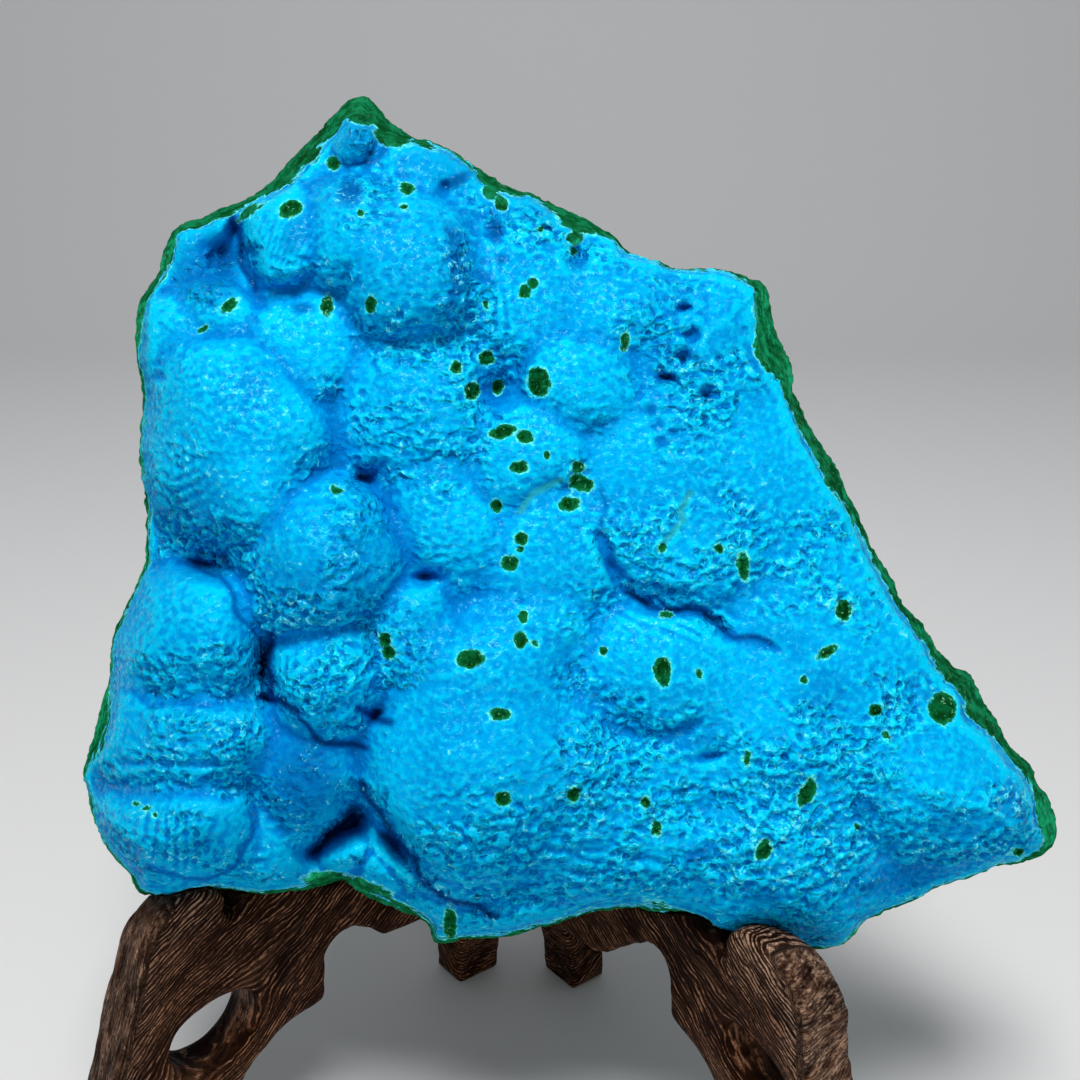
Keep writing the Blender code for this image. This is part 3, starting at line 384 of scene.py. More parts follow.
# ---- Colours ----
DEEP_BLUE = (0.0, 0.3, 0.72)
CRUST_BLUE = (0.0, 0.4, 0.85)
CREST_HIGHLIGHT_BLUE = (0.0, 0.64, 0.96)
WRINKLE_SHADE_BLUE = (0.0, 0.13, 0.5)
HOLLOW_SHADE_BLUE = (0.0, 0.03, 0.16)
PALE_GRAIN_AND_GLINT = (0.16, 0.88, 1.0)
RIM_AND_GLINT_HIGHLIGHT = (0.01, 0.82, 1.0)
PALE_HALO = (0.08, 0.75, 0.62)
PALE_CRUMB = (0.15, 0.9, 0.78)
RIM_GREEN = (0.015, 0.6, 0.26)
EDGE_GREEN = (0.005, 0.21, 0.065)
SHADE_BLUE = (0.0, 0.15, 0.5)
TEAL = (0.02, 0.4, 0.42)
DARK_GREEN = (0.002, 0.035, 0.005)
MALACHITE = (0.002, 0.1, 0.028)
BRIGHT_GREEN = (0.008, 0.23, 0.085)
PALE_GREEN = (0.35, 0.62, 0.42)
LIT_GREEN = (0.02, 0.45, 0.2)
DARK_ROCK = (0.045, 0.042, 0.03)
DARK_WOOD = (0.01, 0.0028, 0.0012)
BROWN_WOOD = (0.032, 0.0105, 0.0045)
RIB_WOOD = (0.32, 0.15, 0.08)
GREY_WEAR_AND_HIGHLIGHT = (0.58, 0.36, 0.24)
WET_TINT = (0.25, 0.9, 1.0)
PORE = (0.008, 0.0025, 0.0012)

FLOOR_COLOUR = (0.8, 0.8, 0.81)
SKY_COLOUR = (0.66, 0.69, 0.72)

# ---- Patterns ----
# How many lumps or pits of each kind there are to a metre.
PATCHES = 60.0  # of lighter and darker blue
GRAINS = 1100.0
FOLDS = 300.0
LARGE_PITS = 480.0
SMALL_PITS = 980.0
FLECKS = 1000.0  # of white in the blue
CLUSTERS = 240.0  # of those flecks
RAGS = 900.0  # along the borders of the green
BAYS = 260.0  # where it reaches in or stops short
MOTTLES = 420.0
CRUMBS = 1500.0  # of pale green
SHADES = 230.0  # on the rim
ROCKS = 90.0  # in the back
BROAD_SHADES = 70.0  # of the wood
GRIT = 1300.0  # and the dark grit in it
# Sizes in metres.
PIT_WANDER = 0.0022
LINE_SPACING = 0.00085
LINE_SWAY = 0.005
CRUST_BUMP = 0.001
WOOD_BUMP = 0.00045
TO_MM = 1000.0

# ---- The studio, in metres ----
FLOOR_DEPTH = 0.75
SWEEP = 0.5
SKY_STRENGTH = 0.33
VIEW_LENS = 44.33


# ---- Shapes ----
def along_curve(a, b, c, d, t):
    """The place between b and c, at t from 0 to 1, on a smooth curve that passes through all four."""
    return b + (c - a) * t / 2 + (2 * a - 5 * b + 4 * c - d) * t * t / 2 + (3 * b - a - 3 * c + d) * t**3 / 2


def through(points, step, closed):
    """Points at about every step along a smooth curve that passes through the given ones."""
    points = np.array(points, float)
    count = len(points)
    curve = []
    for i in range(count if closed else count - 1):
        near = [(i + k) % count if closed else min(max(i + k, 0), count - 1) for k in (-1, 0, 1, 2)]
        curve += [along_curve(*points[near], t) for t in np.linspace(0, 1, CURVE_STEPS, endpoint=False)]
    curve.append(points[0] if closed else points[-1])
    curve = np.array(curve)
    run = np.r_[0, np.cumsum(np.hypot(*np.diff(curve[:, :2], axis=0).T))]
    pieces = max(2, round(run[-1] / step))
    stations = np.linspace(0, run[-1], pieces + 1)[:-1]
    return np.stack([np.interp(stations, run, column) for column in curve.T], axis=1)


def closed_loft(loops, rows_between):
    """Rows between closed loops of equal length, along smooth curves through them."""
    loops = np.array(loops)
    last = len(loops) - 1
    rows = []
    for i, count in enumerate(rows_between):
        near = [min(max(i + k, 0), last) for k in (-1, 0, 1, 2)]
        rows += [along_curve(*loops[near], t) for t in np.arange(count) / count]
    return rows + [loops[last]]


def finer_loop(loop, times):
    """A closed loop with this many points for each one, along a smooth curve through them."""
    corners = (np.roll(loop, -k, axis=0)[:, None] for k in (-1, 0, 1, 2))
    t = (np.arange(times) / times)[None, :, None]
    return along_curve(*corners, t).reshape(-1, loop.shape[1])


def from_edge(u, v, outline):
    """Each point's distance from the silhouette, and the bare width of the edge nearest to it."""
    corners = KDTree(len(outline))
    for index, corner in enumerate(outline):
        corners.insert((corner[0], corner[1], 0), index)
    corners.balance()
    shape = u.shape
    u, v = u.ravel(), v.ravel()
    near = np.array([corners.find((*point, 0))[1] for point in zip(u, v)], int)
    nearest = np.full(len(u), np.inf)
    bare = np.zeros(len(u))
    for side in (-2, -1, 0, 1):
        start = outline[(near + side) % len(outline)]
        along = outline[(near + side + 1) % len(outline)] - start
        t = (u - start[:, 0]) * along[:, 0] + (v - start[:, 1]) * along[:, 1]
        t = np.clip(t / (along[:, 0] ** 2 + along[:, 1] ** 2), 0, 1)
        away = np.hypot(u - start[:, 0] - t * along[:, 0], v - start[:, 1] - t * along[:, 1])
        closer = away < nearest
        nearest = np.where(closer, away, nearest)
        bare = np.where(closer, start[:, 2] + along[:, 2] * t, bare)
    return nearest.reshape(shape), bare.reshape(shape)


def from_line(u, v, points):
    """Distance from a line through the points."""
    nearest = np.full(u.shape, np.inf)
    for start, end in zip(np.array(points, float), np.array(points[1:], float)):
        along = end - start
        t = np.clip(((u - start[0]) * along[0] + (v - start[1]) * along[1]) / (along @ along), 0, 1)
        nearest = np.minimum(nearest, np.hypot(u - start[0] - t * along[0], v - start[1] - t * along[1]))
    return nearest


def soft_max(a, b, blend):
    """The larger of the two, rounded off where they are within blend of each other."""
    near = np.clip(blend - np.abs(a - b), 0, None) / blend
    return np.maximum(a, b) + near * near * blend / 4


def smooth_step(value, low, high):
    """0 below low, 1 above high, and smooth between."""
    t = np.clip((value - low) / (high - low), 0, 1)
    return t * t * (3 - 2 * t)


def turned(u, v, centre_u, centre_v, half_u, half_v, turn=0):
    """Distance from an ellipse's centre, as a share of its radius."""
    c, s = math.cos(math.radians(turn)), math.sin(math.radians(turn))
    across, up = u - centre_u, v - centre_v
    return np.hypot((across * c + up * s) / half_u, (up * c - across * s) / half_v)


def inside_by(u, v, ellipses):
    """How far inside the nearest ellipse each point is, in millimetres, and less than 0 outside it."""
    deep = np.full(u.shape, -FAR)
    for ellipse in ellipses:
        deep = np.maximum(deep, (1 - turned(u, v, *ellipse)) * min(ellipse[2:4]))
    return deep


def share_of(u, v, zones):
    """How strongly each point belongs to these zones: an ellipse and how much for each."""
    share = np.zeros(u.shape)
    for *ellipse, strength in zones:
        share = np.maximum(share, strength * np.exp(-1.2 * turned(u, v, *ellipse) ** 4))
    return share


def covered(u, v, ellipses):
    """How well each point is covered by these ellipses, from 0 to 1."""
    return share_of(u, v, [(*ellipse, 1) for ellipse in ellipses])


def noise_at(points, size, seed):
    """Smooth noise from -1 to 1 over the points, with lumps of this size."""
    away = Vector((seed * 7.3, seed * 3.1, seed * 5.7))
    return np.array([noise.noise(Vector((*p, 0)) / size + away) for p in points])


def set_in(outline, distance):
    """The outline moved inwards, along normals that are evened out so that it can't cross itself."""
    points = outline[:, :2]
    along = sum(np.roll(points, -k, axis=0) - np.roll(points, k, axis=0) for k in (1, 2, 3))
    along /= np.hypot(*along.T)[:, None]
    return points + np.stack([along[:, 1], -along[:, 0]], axis=1) * np.reshape(distance, (-1, 1))


def honeycomb(outline, step):
    """Points in rows set half a step apart, over the outline's box."""
    low, high = outline[:, :2].min(axis=0), outline[:, :2].max(axis=0)
    rows = np.arange(low[1], high[1], step * math.sqrt(3) / 2)
    return np.array(
        [(u, v) for i, v in enumerate(rows) for u in np.arange(low[0] + step / 2 * (i % 2), high[0], step)]
    )


def is_inside(points, rim):
    """Whether each point lies within the closed rim."""
    odd = np.zeros(len(points), bool)
    for (u0, v0), (u1, v1) in zip(rim, np.roll(rim, -1, axis=0)):
        if v0 == v1:
            continue
        spans = (v0 > points[:, 1]) != (v1 > points[:, 1])
        odd ^= spans & (points[:, 0] < (u1 - u0) * (points[:, 1] - v0) / (v1 - v0) + u0)
    return odd


def filled(rims, inner):
    """A flat sheet's points, the rims' first, and its triangles. Every rim but the first is a hole's."""
    edges = []
    first = 0
    for rim in rims:
        edges += [(first + i, first + (i + 1) % len(rim)) for i in range(len(rim))]
        first += len(rim)
    points = [Vector(p) for p in np.concatenate([*rims, inner])]
    found, _, faces, *_ = delaunay_2d_cdt(points, edges, [], 1, 1e-4)
    found = np.array(found)[:, :2]
    for hole in rims[1:]:
        middles = np.array([found[list(face)].mean(axis=0) for face in faces])
        faces = [face for face, gone in zip(faces, is_inside(middles, hole)) if not gone]
    return found, faces


def band(upper, lower):
    """The faces between two rings of as many points each."""
    return np.stack([upper, np.roll(upper, -1), np.roll(lower, -1), lower], axis=1).tolist()


def linked(name, data):
    """A new object in the scene."""
    made = bpy.data.objects.new(name, data)
    bpy.context.collection.objects.link(made)
    return made


def mesh_object(name, points, faces, values):
    """A smooth-shaded object of these points, in millimetres, with a value of each name at every point."""
    data = bpy.data.meshes.new(name)
    data.from_pydata((np.asarray(points) * MM).tolist(), [], faces)
    for kind, numbers in values.items():
        numbers = np.asarray(numbers, np.float32)
        vector = numbers.ndim == 2
        layer = data.attributes.new(kind, "FLOAT_VECTOR" if vector else "FLOAT", "POINT")
        layer.data.foreach_set("vector" if vector else "value", numbers.ravel())
    shell = bmesh.new()
    shell.from_mesh(data)
    bmesh.ops.recalc_face_normals(shell, faces=shell.faces)
    shell.to_mesh(data)
    shell.free()
    data.shade_smooth()
    return linked(name, data)


# ---- The stone's surface ----
def front_height(u, v, outline):
    """Height of the stone's front above the plane of its edge."""
    inside, bare = from_edge(u, v, outline)
    lobe_u = u + 0.9 * np.sin(v / 5.1 + 0.6 * np.sin(u / 7.3)) + 0.5 * np.sin(u / 3.7 + v / 4.9)
    lobe_v = v - 0.9 * np.sin(u / 5.7 + 0.8 * np.sin(v / 6.1)) - 0.5 * np.sin(v / 3.3 - u / 5.3)
    knee = math.sqrt(1 - DOME_REACH**2)
    height = np.zeros(u.shape)
    for *ellipse, stands_out, blend in LOBES:
        r = turned(lobe_u, lobe_v, *ellipse)
        flank = knee - DOME_REACH / knee * (r - DOME_REACH)
        dome = np.where(r < DOME_REACH, np.sqrt(np.clip(1 - r * r, 0, None)), flank)
        height = soft_max(height, stands_out * dome, blend)
    height = height + EDGE_SHEET + INNER_SHEET * (1 - np.exp(-inside / SHEET_RUN))
    for *ellipse, depth in HOLLOWS:
        height = height - depth * np.exp(-1.5 * turned(lobe_u, lobe_v, *ellipse) ** 2)
    for points, half_width, depth in CREASES:
        height = height - depth * np.exp(-((from_line(lobe_u, lobe_v, points) / half_width) ** 2))
    lip = THIN_LIP + (WIDE_LIP - THIN_LIP) * np.clip((bare - 0.4) / 2, 0, 1)
    roll = lip + SHOULDER * np.sqrt(np.clip(inside - bare, 0, None))
    limit = np.where(inside < bare, lip * inside / np.maximum(bare, 0.05), roll)
    return np.maximum(-soft_max(-height, -limit, 1.0), 0)


def crust_height(u, v, outline):
    """The front's height with its grooves, ridges and small pits."""
    height = front_height(u, v, outline)
    spots = np.column_stack([u, v])
    wavy_u, wavy_v = u + 1.1 * noise_at(spots, 3.5, 5), v + 1.1 * noise_at(spots, 3.5, 6)
    uneven = 0.75 + 0.8 * noise_at(spots, 5, 7)
    for points, half_width, depth in GROOVES:
        away = from_line(wavy_u, wavy_v, points) / half_width
        height = height - depth * uneven * np.exp(-(away**2))
    for centre_u, centre_v, half_u, half_v, way, spacing, depth in STRIATED:
        r = turned(u, v, centre_u, centre_v, half_u, half_v)
        across = v * math.cos(math.radians(way)) - u * math.sin(math.radians(way))
        waver = 0.8 * np.sin(u / 3.1 + v / 4.3)
        height = height + depth * np.exp(-1.5 * r**4) * np.sin(math.tau * (across + waver) / spacing)
    for centre_u, centre_v, radius in PITS:
        r = np.hypot(u - centre_u, v - centre_v) / radius
        height = height - 0.8 * radius * np.exp(-1.6 * r**2) + 0.12 * radius * np.exp(-8 * (r - 1.3) ** 2)
    for *ellipse, depth in DEEPER:
        height = height - depth * np.exp(-1.3 * turned(u, v, *ellipse) ** 2)
    height = height - SPOT_DEPTH * smooth_step(inside_by(u, v, WORN_SPOTS), -0.15, 0.25)
    return np.maximum(height, 0)


def back_height(u, v, inset):
    """Height of the broken back, which comes back to one level at its rim."""
    broken = np.max([lie_u * u + lie_v * v + middle for lie_u, lie_v, middle in FACETS], axis=0)
    broken = broken + BACK_WAVES * (np.sin(u / 4.7 + 1.3 * np.sin(v / 8)) + 0.6 * np.sin(v / 3.9 - u / 11))
    return BACK + (broken - BACK) * (1 - np.exp(-inset / 5))


def side_row(outline, w, distance, wearing):
    """One row of points round the side, worn rounder than the silhouette and a little uneven."""
    worn = outline.copy()
    for _ in range(wearing):
        worn = (np.roll(worn, 1, axis=0) + 2 * worn + np.roll(worn, -1, axis=0)) / 4
    uneven = SIDE_WAVES * np.sin(worn[:, 0] / 6 + w) * np.sin(worn[:, 1] / 5 - w / 2)
    row = finer_loop(set_in(worn, distance + uneven), FINER)
    return np.column_stack([row, np.full(len(row), w)])


def placed(points, height):
    """World positions, in millimetres, of points in the stone's tilted frame."""
    scale = 1 - np.maximum(height, 0) / REACH
    u, v = points[:, 0] * scale, points[:, 1] * scale
    x = STONE_CENTRE[0] + u
    y = STONE_CENTRE[1] + v * math.sin(LEAN) - height * math.cos(LEAN)
    z = STONE_CENTRE[2] + v * math.cos(LEAN) + height * math.sin(LEAN)
    return np.stack([x, y, z], axis=1)


def rings_round_lip(outline):
    """Rings of points set in from the silhouette, evenly spaced up the steep edge of the crust."""
    stations = np.linspace(0, 1, LIP_STATIONS) ** 1.5
    reach = outline[:, 2] + LIP_REACH
    at = [set_in(outline, reach * station) for station in stations]
    rows = np.array([np.column_stack([p, front_height(p[:, 0], p[:, 1], outline)]) for p in at])
    rows[0, :, 2] = 0
    run = np.cumsum(np.linalg.norm(np.diff(rows, axis=0), axis=2), axis=0)
    run = np.vstack([np.zeros(len(outline)), run])
    fractions = np.arange(1, LIP_ROWS + 1) / LIP_ROWS
    depths = np.array([np.interp(fractions * r[-1], r, stations) for r in run.T])
    return np.concatenate([set_in(outline, reach * column) for column in depths.T])


def rings_round_spots():
    """Points close round the edge of each worn spot, which keep it crisp."""
    turns = np.linspace(0, math.tau, SPOT_POINTS, endpoint=False)
    rings = []
    for centre_u, centre_v, half_u, half_v, *turn in WORN_SPOTS:
        way = math.radians(turn[0]) if turn else 0.0
        for out in (-SPOT_RING, 0, SPOT_RING):
            along, across = (half_u + out) * np.cos(turns), (half_v + out) * np.sin(turns)
            u = centre_u + along * math.cos(way) - across * math.sin(way)
            v = centre_v + along * math.sin(way) + across * math.cos(way)
            rings.append(np.column_stack([u, v]))
    return np.concatenate(rings)


def front_sheet(outline):
    """The front's points, the silhouette's first, and its triangles."""
    rim = outline[:, :2]
    rings = rings_round_lip(outline)
    rings = rings[is_inside(rings, rim)]
    grid = honeycomb(outline, SHEET_STEP)
    grid = grid[is_inside(grid, rim)]
    inside, bare = from_edge(*grid.T, outline)
    grid = grid[inside > bare + LIP_REACH + SHEET_STEP * 0.4]
    grid = grid[np.abs(inside_by(*grid.T, WORN_SPOTS)) > 0.5]
    spots = rings_round_spots()
    inside, bare = from_edge(*spots.T, outline)
    spots = spots[is_inside(spots, rim) & (inside > bare + LIP_REACH + 0.2)]
    return filled([rim], np.concatenate([rings, spots, grid]))


def back_sheet(outline, rim):
    """The broken back's points, its rim's first, with their heights, and its triangles."""
    closed_row = np.column_stack([rim, np.zeros(len(rim))])
    grid = honeycomb(outline, BACK_STEP)
    grid = grid[is_inside(grid, rim)]
    grid = grid[from_edge(*grid.T, closed_row)[0] > BACK_STEP * 0.6]
    sheet, faces = filled([rim], grid)
    inset, _ = from_edge(*sheet.T, closed_row)
    return np.column_stack([sheet, back_height(*sheet.T, inset)]), faces


def crust_values(u, v, height, outline):
    """What the crust's fine relief and its colours go by, at each point of the front."""
    inside, bare = from_edge(u, v, outline)
    bare = bare * (BARE_SHARE + share_of(u, v, WIDENED) - share_of(u, v, NARROWED))
    wrinkled = np.clip(share_of(u, v, WRINKLED) - 0.7 * covered(u, v, SMOOTH), LEAST_WRINKLED, 1)
    # painted shade in the listed zones and along the creases
    painted_shade = share_of(u, v, PAINTED_SHADE_ZONES)
    for line, half_width, strength in PAINTED_CREASE_SHADE:
        away = from_line(u + 0.5 * np.sin(v / 1.3), v + 0.5 * np.sin(u / 1.7), line) / half_width
        painted_shade = np.maximum(painted_shade, strength * np.exp(-(away**2)))
    return {
        "worn": inside_by(u, v, WORN_SPOTS),
        "bare": np.maximum(bare - inside, inside_by(u, v, GREEN_PATCHES)),
        "level": height,
        "wrinkled": wrinkled * smooth_step(inside - bare, 0, 3),
        "nubbly": covered(u, v, NUBS_AT),
        "speckled": covered(u, v, SPECKLED),
        "open": covered(u, v, [ellipse for *ellipse, _ in HOLLOWS + DEEPER]),
        "painted_shade": painted_shade,
        "stained": np.min([from_line(u, v, line[0]) for line in GROOVES[:PALE_GROOVES]], axis=0),
        "behind": np.zeros(len(u)),
    }


def stone_base():
    """The stone before its finest relief: lobed front, steep crust edge, sides and broken back."""
    solid_outline = through(OUTLINE, OUTLINE_STEP, closed=True)
    outline = finer_loop(solid_outline, FINER)
    outline[:, :2] += RIM_ROUGH * noise_at(outline[:, :2], RIM_LUMP, 1)[:, None]
    count = len(outline)
    front, front_faces = front_sheet(outline)
    height = crust_height(*front.T, outline)
    height[:count] = 0

    loops = [np.column_stack([outline[:, :2], np.zeros(count)])]
    loops += [side_row(solid_outline, *row) for row in SIDE_ROWS]
    sides = closed_loft(loops, [SIDE_STEPS] * len(SIDE_ROWS))
    back, back_faces = back_sheet(outline, sides[-1][:, :2])
    behind = np.concatenate([*sides[1:], back[count:]])
    points = np.concatenate([placed(front, height), placed(behind[:, :2], behind[:, 2])])

    faces = [tuple(face) for face in front_faces]
    starts = [0] + [len(front) + k * count for k in range(len(sides) - 1)]
    ring = np.arange(count)
    for upper, lower in zip(starts, starts[1:]):
        faces += band(upper + ring, lower + ring)
    back_index = starts[-1] + np.arange(len(back))
    faces += [tuple(back_index[list(face)]) for face in back_faces]

    values = crust_values(*front.T, height, outline)
    for kind, numbers in values.items():
        values[kind] = np.r_[numbers, np.full(len(behind), BEHIND.get(kind, 0))]
    values["level"][len(front):] = behind[:, 2]
    return mesh_object("stone", points, faces, values)


# ---- Node trees ----
class Value:
    """What a node gives. Arithmetic with it adds the nodes that do the sum."""

    def __init__(self, nodes, socket):
        self.nodes = nodes
        self.socket = socket

    def __getitem__(self, output):
        """Another output of the same node."""
        return Value(self.nodes, self.socket.node.outputs[output])

    def __add__(self, other):
        return self.nodes.math("ADD", self, other)

    def __sub__(self, other):
        return self.nodes.math("SUBTRACT", self, other)

    def __rsub__(self, other):
        return self.nodes.math("SUBTRACT", other, self)

    def __mul__(self, other):
        return self.nodes.math("MULTIPLY", self, other)

    def __truediv__(self, other):
        return self.nodes.math("DIVIDE", self, other)

    def __rtruediv__(self, other):
        return self.nodes.math("DIVIDE", other, self)

    def __abs__(self):
        return self.nodes.math("ABSOLUTE", self)

    def between(self, low, high, to_low=0.0, to_high=1.0):
        """A smooth step from to_low, where this is below low, to to_high, where it is above high."""
        values = {"Value": self, "From Min": low, "From Max": high, "To Min": to_low, "To Max": to_high}
        return self.nodes.add("ShaderNodeMapRange", values, interpolation_type="SMOOTHSTEP")


class Nodes:
    """Adds nodes to a tree. An input that another node gives is linked, and any other is set."""

    def __init__(self, tree):
        self.tree = tree

    def feed(self, socket, value):
        """Links the value to this input, or sets it."""
        if isinstance(value, Value):
            self.tree.links.new(value.socket, socket)
        else:
            socket.default_value = value

    def add(self, kind, values=(), **settings):
        """The first output of a new node with these inputs and settings."""
        made = self.tree.nodes.new(kind)
        for name, setting in settings.items():
            setattr(made, name, setting)
        for key, value in dict(values).items():
            self.feed(made.inputs[key], value)
        return Value(self, made.outputs[0])

    def math(self, operation, *values):
        """What the operation makes of one or two numbers."""
        return self.add("ShaderNodeMath", enumerate(values), operation=operation)

    def larger(self, a, b):
        """The larger number."""
        return self.math("MAXIMUM", a, b)

    def smaller(self, a, b):
        """The smaller number."""
        return self.math("MINIMUM", a, b)

    def vector(self, operation, a, b):
        """What the operation makes of two vectors, or of one and a scale."""
        second = "Scale" if operation == "SCALE" else 1
        return self.add("ShaderNodeVectorMath", {0: a, second: b}, operation=operation)

    def split(self, vector):
        """The X, Y and Z of a vector, by those names."""
        return self.add("ShaderNodeSeparateXYZ", {"Vector": vector})

    def noise(self, vector, scale, detail=2.0, roughness=0.5):
        """Noise with this many lumps to a metre."""
        values = {"Vector": vector, "Scale": scale, "Detail": detail, "Roughness": roughness}
        return self.add("ShaderNodeTexNoise", values)

    def cells(self, vector, scale, smoothness=0.0):
        """Distance from the middle of a cell, of which there are this many to a metre."""
        values = {"Vector": vector, "Scale": scale}
        if smoothness:
            values["Smoothness"] = smoothness
        return self.add("ShaderNodeTexVoronoi", values, feature="SMOOTH_F1" if smoothness else "F1")

    def bent(self, vector, scale, distance):
        """The vector, moved to and fro by up to half this distance."""
        away = self.vector("SUBTRACT", self.noise(vector, scale)["Color"], (0.5, 0.5, 0.5))
        return self.vector("ADD", vector, self.vector("SCALE", away, distance))

    def mixed(self, share, a, b):
        """Colour a, and colour b where share is 1."""
        a, b = (colour if isinstance(colour, Value) else (*colour, 1) for colour in (a, b))
        return self.add("ShaderNodeMix", {0: share, 6: a, 7: b}, data_type="RGBA")[2]


def relief_tree(name, sizes):
    """The nodes of a new geometry tree, its inputs, with these sizes, and a reader of attributes."""
    tree = bpy.data.node_groups.new(name, "GeometryNodeTree")
    tree.interface.new_socket("Geometry", in_out="INPUT", socket_type="NodeSocketGeometry")
    for size, default in sizes.items():
        socket = tree.interface.new_socket(size, in_out="INPUT", socket_type="NodeSocketFloat")
        socket.default_value = default
    tree.interface.new_socket("Geometry", in_out="OUTPUT", socket_type="NodeSocketGeometry")
    nodes = Nodes(tree)

    def stored(kind, data_type="FLOAT"):
        """The attribute of this name."""
        return nodes.add("GeometryNodeInputNamedAttribute", {"Name": kind}, data_type=data_type)

    return nodes, nodes.add("NodeGroupInput"), stored


def to_smooth(nodes, rounds):
    """The way from each point to the surface smoothed over this many rounds."""
    place = nodes.add("GeometryNodeInputPosition")
    values = {"Iterations": rounds, "Value": place}
    smooth = nodes.add("GeometryNodeBlurAttribute", values, data_type="FLOAT_VECTOR")
    return nodes.vector("SUBTRACT", smooth["Value"], place)


def sunk_below(nodes, rounds):
    """How far each point lies below the smoothed surface, in metres."""
    values = {0: to_smooth(nodes, rounds), 1: nodes.add("GeometryNodeInputNormal")}
    return nodes.add("ShaderNodeVectorMath", values, operation="DOT_PRODUCT")["Value"]


def part_filled(nodes, mesh, left_open):
    """The mesh with the valleys between its lobes part filled, and real holes left open."""
    deep = nodes.larger(sunk_below(nodes, VALLEY_ROUNDS), 0.0)
    share = deep * FILLED_SHARE / (deep + FILLED_FROM) * (1.0 - left_open)
    offset = nodes.vector("SCALE", to_smooth(nodes, VALLEY_ROUNDS), share)
    return nodes.add("GeometryNodeSetPosition", {"Geometry": mesh, "Offset": offset})


def finish_tree(nodes, mesh, raised, kept_values, surface):
    """Moves the surface out by raised, keeps these values for the colours, and gives the material."""
    offset = nodes.vector("SCALE", nodes.add("GeometryNodeInputNormal"), raised)
    mesh = nodes.add("GeometryNodeSetPosition", {"Geometry": mesh, "Offset": offset})
    for kind, value in kept_values.items():
        mesh = nodes.add("GeometryNodeStoreNamedAttribute", {"Geometry": mesh, "Name": kind, "Value": value})
    whole = nodes.add("GeometryNodeRealizeInstances", {"Geometry": mesh})
    finished = nodes.add("GeometryNodeSetMaterial", {"Geometry": whole, "Material": surface})
    nodes.feed(nodes.tree.nodes.new("NodeGroupOutput").inputs[0], finished)
    return nodes.tree


def crust_tree(surface):
    """Wrinkles, grains and nubs on the crust, and rough broken stone behind it."""
    sizes = {
        "Wrinkle Size": 0.0019, "Wrinkle Depth": 0.0013, "Grain Size": 0.0013, "Grain Depth": 0.00025,
        "Nub Radius": 0.0011, "Nub Spacing": 0.0026, "Rim Lump Size": 0.003, "Rim Lump Depth": 0.0013,
        "Break Size": 0.006, "Break Depth": 0.0013, "Seed": 4.0,
    }
    nodes, given, stored = relief_tree("crust relief", sizes)
    place = nodes.add("GeometryNodeInputPosition")
    filled_in = part_filled(nodes, given["Geometry"], stored("open"))
    on_crust = 1.0 - stored("behind")

    # wrinkles, which also gather on the undersides of the lobes
    shift = nodes.add("ShaderNodeCombineXYZ", {"X": given["Seed"], "Z": given["Seed"]})
    shrunk = nodes.vector("ADD", nodes.vector("MULTIPLY", place, (0.85, 0.85, 1.2)), shift)
    per_metre = 1.0 / given["Wrinkle Size"]
    wavy = nodes.bent(shrunk, per_metre * 0.5, given["Wrinkle Size"] * 2.4)
    pucker = nodes.cells(wavy, per_metre, 0.25)
    fold = abs(nodes.noise(wavy, per_metre * 0.7, 1.5) - 0.5).between(0.16, 0.0)
    under = nodes.split(nodes.add("GeometryNodeInputNormal"))["Z"].between(0.35, -0.25, 0.0, 0.5) * on_crust
    amount = (stored("wrinkled") + under) * nodes.noise(shrunk, 130.0).between(0.34, 0.66, 0.25, 1.35)
    amount = nodes.smaller(amount, 1.2) * stored("bare").between(0.0, -1.5)
    raised = (pucker * 0.9 + fold * 0.3 - 0.55) * (amount * given["Wrinkle Depth"])

    # grains, and lumps along the bare rim
    grains = nodes.noise(shrunk, 1.0 / given["Grain Size"], 3.0, 0.6)
    raised = raised + (grains - 0.5) * given["Grain Depth"] * 2.0 * on_crust
    lumpy = nodes.noise(place, 1.0 / given["Rim Lump Size"], 3.0, 0.6)
    on_rim = stored("bare").between(-0.6, 0.2) * on_crust
    raised = raised + (lumpy - 0.5) * given["Rim Lump Depth"] * on_rim

    # small round nubs
    scatter = {
        "Mesh": filled_in, "Distance Min": given["Nub Spacing"], "Density Max": 400000.0,
        "Density Factor": stored("nubbly").between(0.25, 0.75), "Seed": 4,
    }
    nubs = nodes.add("GeometryNodeDistributePointsOnFaces", scatter, distribute_method="POISSON")
    reach = nodes.add("GeometryNodeProximity", {"Geometry": nubs["Points"]}, target_element="POINTS")
    away = reach["Distance"] / given["Nub Radius"]
    dome = nodes.math("SQRT", nodes.larger(1.0 - away * away, 0.0))
    raised = raised + dome * (given["Nub Radius"] * 0.4)

    # the broken back
    broken = nodes.cells(place, 1.0 / given["Break Size"]) - 0.5
    rough = nodes.noise(place, 3.0 / given["Break Size"], 3.0, 0.6) - 0.5
    raised = raised + (broken + rough) * given["Break Depth"] * stored("behind")

    kept = {
        "sunk": sunk_below(nodes, WRINKLE_ROUNDS), "hollow_shade_depth": sunk_below(nodes, SHELTER_ROUNDS),
        "puckered": amount, "under": under,
    }
    return finish_tree(nodes, filled_in, raised, kept, surface)


